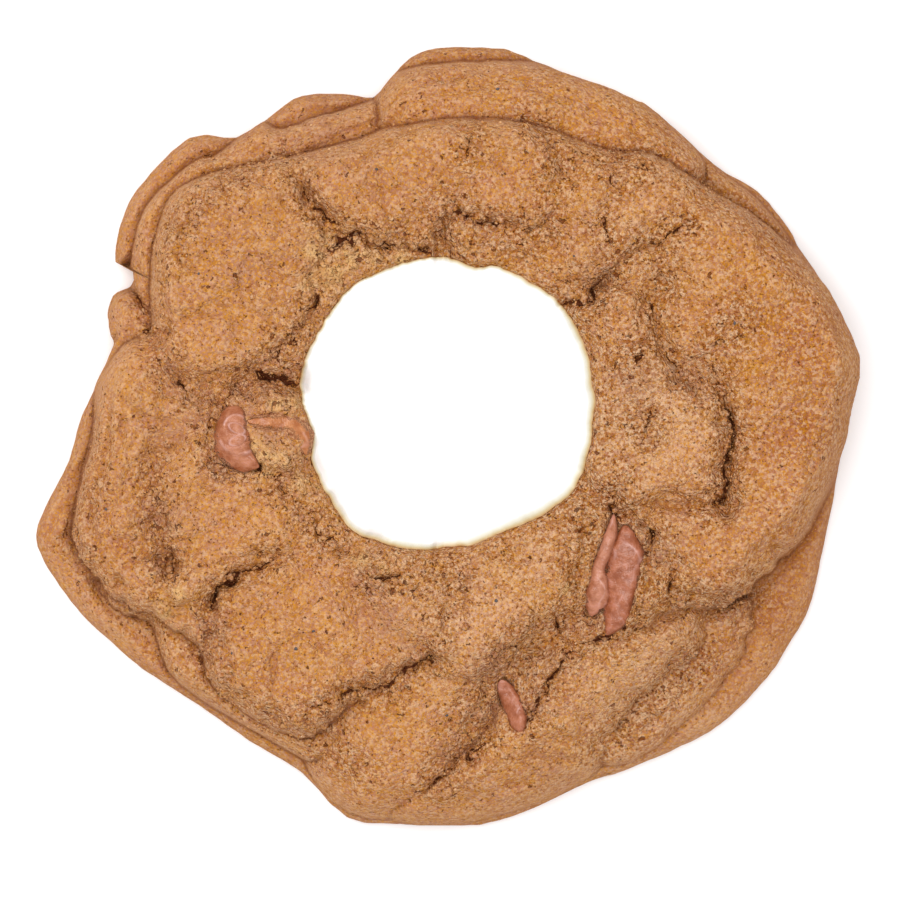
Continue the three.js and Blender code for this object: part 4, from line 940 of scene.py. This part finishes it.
# Flour and sugar grains of the dough: golden ones and lavender-grey ones, all of one brightness.
golden = ((1 - grain_hue) * 0.6 + (1 - fleck_hue) * 0.5).ramp(0.52, 0.84)
greyish = (grain_hue * 0.6 + fleck_hue * 0.5).ramp(0.52, 0.84)
# Where the fine relief lies low, for painted amber shade.
painted_hollow_shade = (1 - fine * 0.45 - tiny * 0.5 - grain_top * 0.15).ramp(0.42, 0.66)
cool_shade_here = crumb.read("purple") * crumb.noise(where, 0.8, 2, 0.6).ramp(0.3, 0.65)
baked = crumb.mix(crumb.read("browned"), seen(206, 149, 98), seen(192, 129, 70))
crumb.paint(baked, [
    # Broad drifts of hue, and the paler and browner patches.
    (patchy.ramp(0.44, 0.64) * 0.4, seen(200, 138, 106)),
    ((1 - patchy).ramp(0.48, 0.66) * 0.4, seen(210, 147, 68)),
    (hue.ramp(0.52, 0.64) * 0.35, seen(190, 132, 110)),
    ((1 - hue).ramp(0.52, 0.64) * 0.4, seen(214, 152, 66)),
    (paler.most(0), seen(240, 198, 154)),
    ((0 - paler).most(0), seen(168, 114, 72)),
    (skirt * 0.55, seen(182, 122, 82)),
    (crumb.read("toasted") * (patchy * 0.6 + swirl * 0.7), seen(166, 96, 52)),
    (golden * 0.9 * (1 - skirt * 0.3), seen(214, 145, 44)),
    (greyish * 0.65 * (1 - skirt * 0.3), seen(192, 136, 118)),
    # A pale painted highlight on the crests.
    (crumb.read("ridge") * 0.3, seen(222, 172, 130)),
    # Each grain's own tone, pale or amber at random. The pale tops are partly a painted highlight where
    # the fine relief stands high, and painted amber shade fills its low places.
    ((grain_tone * 0.5 + tiny * 0.7).ramp(0.56, 0.86) * 0.75 * contrast, seen(240, 198, 158)),
    ((1 - grain_tone).ramp(0.66, 0.95) * 0.6 * contrast, seen(158, 82, 10)),
    (painted_hollow_shade * 0.8 * contrast, seen(170, 90, 8)),
    (crumb.read("pale") * swirl.ramp(0.3, 0.6) * 0.6, seen(242, 196, 132)),
    # Purplish grey painted shade.
    (cool_shade_here * 0.4, seen(160, 112, 94)),
    # Painted shade in the creases and hollows.
    (crumb.read("cavity") * 0.35, seen(158, 92, 38)),
    # Painted light where fold meets fold: a highlight on the upper fold's lip, a shadow at its foot.
    # Painted shade in the cracks, wrinkles, pits and holes: amber on crack banks, darkest inside.
    (painted_fold_highlight * 0.25, seen(218, 170, 138)),
    (painted_fold_shadow * 0.55, seen(118, 62, 46)),
    (painted_crack_bank_shade * 0.45, seen(176, 104, 36)),
    (painted_wrinkle_shade * 0.6, seen(150, 78, 26)),
    (pit * 0.6, seen(136, 62, 16)),
    (hole * 0.8, seen(116, 54, 22)),
    (in_crack * 0.9, seen(92, 40, 22)),
])
crumb.feed(crumb.shader.inputs["Roughness"], 0.72 + fine * 0.25)
cookie.data.materials.append(crumb.material)
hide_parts("cookie")
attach(cookie, "root")

# The icing: thick white icing poured warm into the well, where it settled to a smooth low dome. It
# wets the crumb all round, so its rim is thin and lets the dough's colour through; the tan to cream
# band along the rim is also painted shade and warm light reflected from the crumb wall.
ICING_RIM = 17.4
ICING_DOME = 2.6
ICING_COLUMNS = 450
ICING_BASE = WELL_FLOOR + 0.3
# Rows at even shares of the way out to 0.86 of it, and from there closer and closer to the rim.
share = np.concatenate([np.linspace(0.05, 0.86, 14), 1 - 0.14 * np.linspace(1, 0, 22)[1:] ** 1.3])
turn = np.linspace(0, 2 * np.pi, ICING_COLUMNS, endpoint=False)
# It meets the crumb's own edge all round, and rises from there to the dome's height.
well_edge = skin_points[::COLUMNS // ICING_COLUMNS, WELL_ROWS]
edge = np.hypot(well_edge[:, 0] - CENTRE[0], well_edge[:, 1] - CENTRE[1])
r = edge[:, None] * share
from_rim = edge[:, None] - r
settled = np.exp(-((from_rim / 1.1) ** 2))
icing_z = ICING_RIM + ICING_DOME * (1 - share**2)
icing_z = icing_z + (well_edge[:, 2:] + 0.03 - icing_z) * settled
icing_x = CENTRE[0] + np.cos(turn)[:, None] * r
icing_y = CENTRE[1] + np.sin(turn)[:, None] * r
icing_z = icing_z + 0.12 * np.sin(0.31 * icing_x + 0.8) * np.sin(0.27 * icing_y + 2)
# Below the rim its side steps in a little, and its base is flat.
rim_z = icing_z[:, -1:]
under_r = np.concatenate([edge[:, None] - [0.05, 0.1, 0.12, 0.15], edge[:, None] * [0.6, 0.3]], axis=1)
under_z = rim_z + (ICING_BASE - rim_z) * [0.25, 0.5, 0.75, 1, 1, 1]
all_r = np.concatenate([r, under_r], axis=1)
icing = ring_mesh("icing_pool", CENTRE[0] + np.cos(turn)[:, None] * all_r,
                  CENTRE[1] + np.sin(turn)[:, None] * all_r, np.concatenate([icing_z, under_z], axis=1),
                  (*CENTRE, ICING_RIM + ICING_DOME + 0.05), (*CENTRE, ICING_BASE))
# The creamy fringe, partly thin icing over the dough and partly painted shade and reflected light,
# is narrowest at the upper left and widest at the lower right.
fringe = 0.8 + 0.4 * np.cos(turn + np.radians(50)) + 0.12 * np.sin(5 * turn) + 0.1 * np.sin(13 * turn + 1)
add_value(icing, "from_rim", np.append(np.concatenate([
    from_rim / np.maximum(fringe, 0.35)[:, None], np.zeros(under_r.shape)], axis=1), [18, 0]))
glaze = Finish("set_white_icing", Roughness=0.3, Specular_IOR_Level=0.35)
where = glaze.millimetres()
cloud = glaze.noise(where, 5, 2, 0.5)
speck = glaze.noise(where, 0.5, 2, 0.6)
# Painted along the rim from tan through cream to white: partly the dough seen through thin icing, partly
# painted shade and warm light reflected from the crumb wall.
rim_tint_and_shade = glaze.read("from_rim") + (cloud - 0.5) * 0.3 + (speck - 0.5) * 0.1
colour = glaze.node("Ramp", {"stops": [
    (0.0, seen(178, 130, 76)), (0.12, seen(200, 164, 112)), (0.3, seen(216, 198, 158)),
    (0.5, seen(232, 224, 202)), (0.75, seen(244, 241, 232)), (1.0, (0.86, 0.86, 0.855))]},
    {"Fac": rim_tint_and_shade / 1.1})
glaze.feed(glaze.shader.inputs["Base Color"], colour)
glaze.raise_by(cloud * 0.25 + speck * 0.015)
icing.data.materials.append(glaze.material)
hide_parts("icing")
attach(icing, "root")

# The chips: caramel-coloured baking chips, folded into the dough, that melted and set again. Each
# shows as a glossy round-backed ridge in its seat, with thin highlights painted on it. The left one
# keeps the swirl of its drop's tip.
SWIRL = ((-27.95, 1.0, -0.35), (-27.85, -0.6, 0.3))   # each turn's middle and slant
CHIP_DEPTH = 2.2
CHIP_TOP = 61                            # points across a chip's top, with six more below it
FILM = {"chip_left_smear": 0.5}          # how much of a chip is a film too thin to hide the crumb
TINTS = {                                # each chip's darker and lighter brown
    "chip_left": (seen(168, 95, 59), seen(197, 127, 89)),
    "chip_left_smear": (seen(176, 101, 50), seen(208, 135, 82)),
    "chip_right_narrow": (seen(170, 100, 68), seen(200, 132, 100)),
    "chip_right_large": (seen(150, 79, 46), seen(182, 108, 72)),
    "chip_lower": (seen(158, 86, 52), seen(187, 114, 78)),
}


def melted_chip(line, seed):
    """A closed skin round a path: its top follows the dough's bed and stands proud of it by a share
    1 - |u|^3 of the chip's height, u being 0 on the path and 1 at either bank; below, the banks draw
    in to a flat underside. Both ends close bluntly, as sqrt(1 - t^8) does at t = 1."""
    side = left_of(line)
    t = np.linspace(-1, 1, len(line))
    close = np.sqrt(np.clip(1 - np.abs(t) ** 8, 0, 1))[:, None]
    u = np.concatenate([np.sin(np.linspace(-np.pi / 2, np.pi / 2, CHIP_TOP)),
                        [0.9, 0.6, 0.2, -0.2, -0.6, -0.9]])
    is_top = np.arange(len(u)) < CHIP_TOP
    # The two banks are ragged in different ways, as if they were 9 mm above and below the path.
    bank = np.stack([line[:, 0], line[:, 1], 0 * t], axis=-1)[:, None]
    bank = bank + np.sign(u)[None, :, None] * [0, 0, 9]
    ragged = 1 + 0.12 * lumpy(bank, 1.2, seed) + 0.08 * lumpy(bank, 0.5, seed + 1)
    width = np.where(u > 0, line[:, 2:3], line[:, 3:4]) * close * ragged + 0.02
    x = line[:, :1] + side[:, :1] * width * u
    y = line[:, 1:2] + side[:, 1:2] * width * u
    bed = sample(chip_bed, x, y)
    proud = line[:, 4:5] * close * (1 - np.abs(u) ** 3) - 0.35 * np.abs(u) ** 8 - 0.15
    z = np.where(is_top, bed + proud, sample(chip_bed, *line[:, :2].T)[:, None] - CHIP_DEPTH * close)
    return x, y, z, is_top, np.abs(u) + 0 * x


for number, (name, line) in enumerate(chip_lines.items()):
    x, y, z, is_top, bank = melted_chip(line, 71 + 4 * number)
    place = np.stack([x, y, 0 * z], axis=-1)
    wave = 0.16 * lumpy(place, 1.7, 31) + 0.1 * lumpy(place, 0.8, 32)
    # Thin pale streaks painted on as highlights: wavy and broken on every chip, and on the left one round
    # its swirl, along its upper arc and at its lower lip.
    streak = place * [1, 0.35, 1] + np.stack([0.5 * np.sin(1.3 * y), 0 * y, 0 * y], axis=-1)
    pale_line = np.clip(1 - np.abs(lumpy(streak, 1.5, 33)) / 0.14, 0, 1)
    pale_line *= np.clip(lumpy(place, 1.3, 35) + 0.1, 0, 0.6)
    if name == "chip_left":
        turn_at = np.minimum(*[np.hypot((x - sx) / 1.1, (y - sy - slant * (x - sx)) / 0.66)
                               for sx, sy, slant in SWIRL])
        outer_turn = np.hypot((x + 28.1) / 1.6, (y - 1.1) / 1.75)
        arc = np.exp(-((outer_turn - 1) / 0.07) ** 2) * (y > 1.3)
        lip = np.exp(-((np.hypot(x + 27.6, y - 0.3) - 2.75) / 0.22) ** 2) * (y < -0.6)
        wave += 0.25 * np.clip(1.25 - turn_at, 0, 1) ** 0.5 - 0.2 * np.exp(-((turn_at - 1.2) / 0.13) ** 2)
        wave += 0.12 * arc + 0.15 * lip
        pale_line = np.maximum(np.exp(-((turn_at - 0.98) / 0.11) ** 2), np.maximum(arc, 0.6 * lip))
        pale_line *= np.clip(0.75 + lumpy(place, 1.1, 34), 0.2, 1)
    z = z + np.where(is_top, wave, 0)
    first = (line[0, 0], line[0, 1], z[0].mean())
    last = (line[-1, 0], line[-1, 1], z[-1].mean())
    chip = ring_mesh(name + "_melted", x.T, y.T, z.T, first, last)
    chip.data.flip_normals()
    add_value(chip, "bank", np.append(bank.T, [1, 1]))
    add_value(chip, "pale_line", np.append((pale_line * is_top).T, [0, 0]))
    caramel = Finish(name + "_caramel", Specular_IOR_Level=0.5)
    where = caramel.millimetres()
    film = caramel.noise(where, 1.3, 3, 0.6)
    dust = caramel.noise(where, 0.25, 2, 0.6)
    grain = caramel.split(caramel.grains(where, 0.3, output=1))
    thin_film = FILM.get(name, 0.0)
    bared = (caramel.read("bank") + (film - 0.5) * 0.9 + (dust - 0.5) * 0.5 + thin_film * 0.6).ramp(
        0.88 - thin_film * 0.5, 1.04)
    pinkish = (dust * 0.6 + film * 0.5).ramp(0.54, 0.72) * (0.5 - thin_film)
    bare_tone = (grain * 0.5 + dust * 0.6).ramp(0.3, 0.8)
    caramel.paint(caramel.mix(film.ramp(0.32, 0.66), *TINTS[name]), [
        (pinkish, seen(200, 132, 118)),
        # Painted highlights.
        (caramel.read("pale_line") * 0.75, seen(238, 188, 178)),
        (bared * 0.85, caramel.mix(bare_tone, seen(158, 90, 50), seen(216, 158, 112)))])
    caramel.feed(caramel.shader.inputs["Roughness"], 0.25 + film * 0.25 + bared * 0.4)
    caramel.raise_by(film * 0.25 + dust * 0.05 + bared * (grain * 0.25 + dust * 0.2))
    chip.data.materials.append(caramel.material)
    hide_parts(name)
    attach(chip, "root")

# The crumbs: grains of the same dough, 0.2 to 0.5 mm across, that baked on to the skin half sunk in
# it. They run from dark to pale brown, one tone to each, and lie thickest where the crust is craggy.
CRUMBS = 9800
WIDEST = 56                  # about how far out the skin reaches
LAST_ROW = WELL_ROWS + TOP_ROWS
ROUGH_CORNERS, FINE_CORNERS = 12, 42     # of one grain, in its two kinds


def grain_mesh(name, places, normals, sizes, seed, flat=0.75, fine=False):
    """Grains as twenty-sided stones: the twelve corners of an icosahedron, each moved in or out at
    random, scaled to the grain's size, pressed flat along the skin's normal and turned at random.
    Fine ones have each face cut in four, with the new corners at the edges' middles, moved out."""
    rng = np.random.default_rng(seed)
    gold = (1 + 5**0.5) / 2
    corners = np.array([[-1, gold, 0], [1, gold, 0], [-1, -gold, 0], [1, -gold, 0], [0, -1, gold],
                        [0, 1, gold], [0, -1, -gold], [0, 1, -gold], [gold, 0, -1], [gold, 0, 1],
                        [-gold, 0, -1], [-gold, 0, 1]]) / np.hypot(1, gold)
    faces = np.array([[0, 11, 5], [0, 5, 1], [0, 1, 7], [0, 7, 10], [0, 10, 11], [1, 5, 9], [5, 11, 4],
                      [11, 10, 2], [10, 7, 6], [7, 1, 8], [3, 9, 4], [3, 4, 2], [3, 2, 6], [3, 6, 8],
                      [3, 8, 9], [4, 9, 5], [2, 4, 11], [6, 2, 10], [8, 6, 7], [9, 8, 1]])
    if fine:
        edges = np.sort(faces[:, [[0, 1], [1, 2], [2, 0]]].reshape(-1, 2), axis=1)
        edges, which = np.unique(edges, axis=0, return_inverse=True)
        middles = corners[edges].mean(axis=1)
        corners = np.concatenate([corners, middles / np.linalg.norm(middles, axis=1, keepdims=True)])
        ab, bc, ca = ROUGH_CORNERS + which.reshape(-1, 3).T
        a, b, c = faces.T
        faces = np.stack([a, ab, ca, b, bc, ab, c, ca, bc, ab, bc, ca], axis=-1).reshape(-1, 3)
    count = len(places)
    shape = corners[None] * rng.uniform(0.72, 1.25, (count, len(corners), 1))
    shape = shape * rng.uniform(0.75, 1.3, (count, 1, 3))
    spin = rng.normal(size=(count, 3, 3))
    spin, _ = np.linalg.qr(spin)
    spin *= np.sign(np.linalg.det(spin))[:, None, None]
    shape = np.einsum("nij,nkj->nki", spin, shape) * sizes[:, None, None]
    along = np.einsum("nki,ni->nk", shape, normals)
    shape = shape - (1 - flat) * along[..., None] * normals[:, None]
    points = (places[:, None] + shape).reshape(-1, 3)
    every = (np.arange(count)[:, None, None] * len(corners) + faces[None]).reshape(-1, 3)
    piece = mesh_from(name, points, [every])
    add_value(piece, "tone", np.repeat(rng.uniform(0, 1, count), len(corners)))
    return piece


def scatter(tries, last_row, count, kept):
    """Up to so many places on the skin, and the directions square to it there: out of random tries,
    the first that a rule keeps. The rule gets their x, y and z and the room there, because a column
    is wider the further out it is and grains are kept in proportion to that."""
    columns = rng.integers(0, COLUMNS, tries)
    rows = rng.integers(WELL_ROWS + 2, last_row, tries)
    x, y, z = skin_points[columns, rows].T
    room = np.hypot(x - CENTRE[0], y - CENTRE[1]) / WIDEST
    chosen = np.flatnonzero(kept(x, y, z, room))[:count]
    columns, rows = columns[chosen], rows[chosen]
    return skin_points[columns, rows], skin_normals[columns, rows]


def crumb_stays(x, y, z, room):
    """Anywhere on the crust but its outermost edge and the chips, most where it is craggy."""
    keep = (rng.uniform(0, 1, len(x)) < room) & (sample(body_inset, x, y) > 1.2)
    keep &= sample(chip_inset, x, y) < -0.1
    return keep & (rng.uniform(0, 1, len(x)) < 0.15 + 1.2 * sample(craggy, x, y))


rng = np.random.default_rng(5)
seat, seat_normal = scatter(5 * CRUMBS, LAST_ROW, CRUMBS, crumb_stays)
sizes = 0.09 + 0.16 * rng.uniform(0, 1, len(seat)) ** 3
sizes *= np.where(seat[:, 2] < 8, 0.75, 1)
ok = seat[:, 2] < high[2] - 0.3
crumbs = grain_mesh("crumbs", (seat + seat_normal * sizes[:, None] * 0.1)[ok], seat_normal[ok],
                    sizes[ok], 6)
sandy = Finish("crumb_grains", Roughness=0.75, Specular_IOR_Level=0.25)
where = sandy.millimetres()
tone = sandy.read("tone")
sandy.paint(sandy.mix(tone.ramp(0.0, 0.7), seen(176, 108, 46), seen(214, 154, 98)), [
    (tone.ramp(0.82, 1.0) * 0.6, seen(234, 190, 146)),
    (sandy.noise(where, 0.3, 2, 0.6).ramp(0.4, 0.7) * 0.35, seen(170, 108, 60))])
sandy.raise_by(sandy.noise(where, 0.2, 2, 0.6) * 0.06)
crumbs.data.materials.append(sandy.material)
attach(crumbs, "root")

# The clumps: bits of dough 0.5 to 1.3 mm across that broke off where the crust tore, and baked on
# along its cracks, round the well and down the left side. They have the cookie's own material.
CLUMPS = 1500


def clump_stays(x, y, z, room):
    """On high and craggy ground clear of the edge, the chips and the icing, most on the pale crags."""
    chance = room * (0.8 * sample(craggy, x, y) ** 3 + patch(x, y, PALE_CRAGS))
    keep = (rng.uniform(0, 1, len(x)) < chance) & (sample(body_inset, x, y) > 2)
    keep &= (sample(chip_inset, x, y) < -0.3) & (z < high[2] - 1)
    return keep & (sample(icing_inset, x, y) < -0.9) & (z > 9)


rng = np.random.default_rng(12)
seat, seat_normal = scatter(60 * CLUMPS, LAST_ROW - 3, CLUMPS, clump_stays)
sizes = 0.26 + 0.4 * rng.uniform(0, 1, len(seat)) ** 2
clumps = grain_mesh("crumb_clumps", seat - seat_normal * sizes[:, None] * 0.15, seat_normal, sizes,
                    13, 0.8, True)
# Far from every crack and fold, all alike in grain, and browned and tinted as the skin under them.
marks = {"crack_side": NO_EDGE, "crack_width": CLOSED, "cavity": 0, "ridge": 0.5, "craggy": 0.6,
         "crisp_grain": 1, "fold_side": NO_EDGE, "fold_shows": 0, "paler": 0, "toasted": 0, "skirt": 0,
         "browned": sample(browned, seat[:, 0], seat[:, 1]),
         "purple": patch(seat[:, 0], seat[:, 1], COOL_SHADE_PATCHES),
         "pale": patch(seat[:, 0], seat[:, 1], PALE_CRAGS)}
for name, values in marks.items():
    add_value(clumps, name, np.repeat(np.broadcast_to(values, len(seat)), FINE_CORNERS))
clumps.data.materials.append(crumb.material)
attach(clumps, "root")

# The spice specks: coarse ground clove in the dough, a few grains of which show on its skin. Dark
# blue-grey, about 0.4 mm across, each at its own place.
SPECKS = [[-17.7, -25.9], [-20.1, -28.2], [-28.6, -28.9], [6.8, 46.3], [38.3, 15], [-45.4, -9.7],
          [6.5, -21.9], [0, -37.3], [16.9, 23.8], [-9.5, 35.4], [29.7, -30.8], [-33.1, 21.5]]
top = skin_points[:, WELL_ROWS:LAST_ROW]
column, row = np.array([
    np.unravel_index(np.argmin((top[..., 0] - sx) ** 2 + (top[..., 1] - sy) ** 2), top.shape[:2])
    for sx, sy in SPECKS]).T
seat, seat_normal = top[column, row], skin_normals[column, row + WELL_ROWS]
rng = np.random.default_rng(8)
specks = grain_mesh("spice_specks", seat + seat_normal * 0.05, seat_normal,
                    0.17 + 0.1 * rng.uniform(0, 1, len(seat)), 9, flat=0.5)
clove = Finish("ground_clove", Roughness=0.6)
clove.feed(clove.shader.inputs["Base Color"], clove.mix(
    clove.noise(clove.millimetres(), 0.15, 2, 0.6), seen(66, 58, 66), seen(104, 92, 92)))
specks.data.materials.append(clove.material)
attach(specks, "root")

# The setting: a sheet of white paper in a soft white room, with a wide panel of light overhead and
# a small one at the upper left, looked at from straight above through a long lens.
FLOOR_HALF = 1500
floor = mesh_from("floor", FLOOR_HALF * np.array([[-1, -1, 0], [1, -1, 0], [1, 1, 0], [-1, 1, 0]]),
                  [np.array([[0, 1, 2, 3]])])
paper = Finish("white_paper", Roughness=0.9, Specular_IOR_Level=0.1)
paper.feed(paper.shader.inputs["Base Color"], paper.mix(
    paper.noise(paper.millimetres(), 60, 2, 0.5), (0.95, 0.95, 0.96), (0.96, 0.955, 0.965)))
floor.data.materials.append(paper.material)

scene = bpy.context.scene
scene.view_settings.view_transform = "Standard"
scene.view_settings.look = "None"
world = bpy.data.worlds.new("soft_room")
scene.world = world
world.use_nodes = True
world.node_tree.nodes["Background"].inputs["Color"].default_value = (1, 1, 1, 1)
world.node_tree.nodes["Background"].inputs["Strength"].default_value = 0.64


def panel(name, place, aim, size, power):
    """A square soft light at a place in metres, turned to face another."""
    light = bpy.data.lights.new(name, "AREA")
    light.shape, light.size, light.energy = "SQUARE", size, power
    lamp = bpy.data.objects.new(name, light)
    lamp.location = place
    lamp.rotation_euler = (Vector(aim) - Vector(place)).to_track_quat("-Z", "Y").to_euler()
    scene.collection.objects.link(lamp)


panel("ceiling", (-0.02, 0.02, 1.2), (0, 0, 0.01), 0.8, 11.8)
panel("window", (-0.6, 0.4, 0.7), (0, 0, 0.01), 0.35, 2.2)

IMAGE_MM = 121.5             # what the image's width spans at the height of the cookie's edge
LENS, SENSOR = 300, 36
camera_data = bpy.data.cameras.new("camera")
camera_data.lens, camera_data.sensor_width = LENS, SENSOR
camera_data.clip_end = 20
camera = bpy.data.objects.new("camera", camera_data)
camera.location = (0.4 * MM, -1.9 * MM, (6 + IMAGE_MM * LENS / SENSOR) * MM)
scene.collection.objects.link(camera)
scene.camera = camera
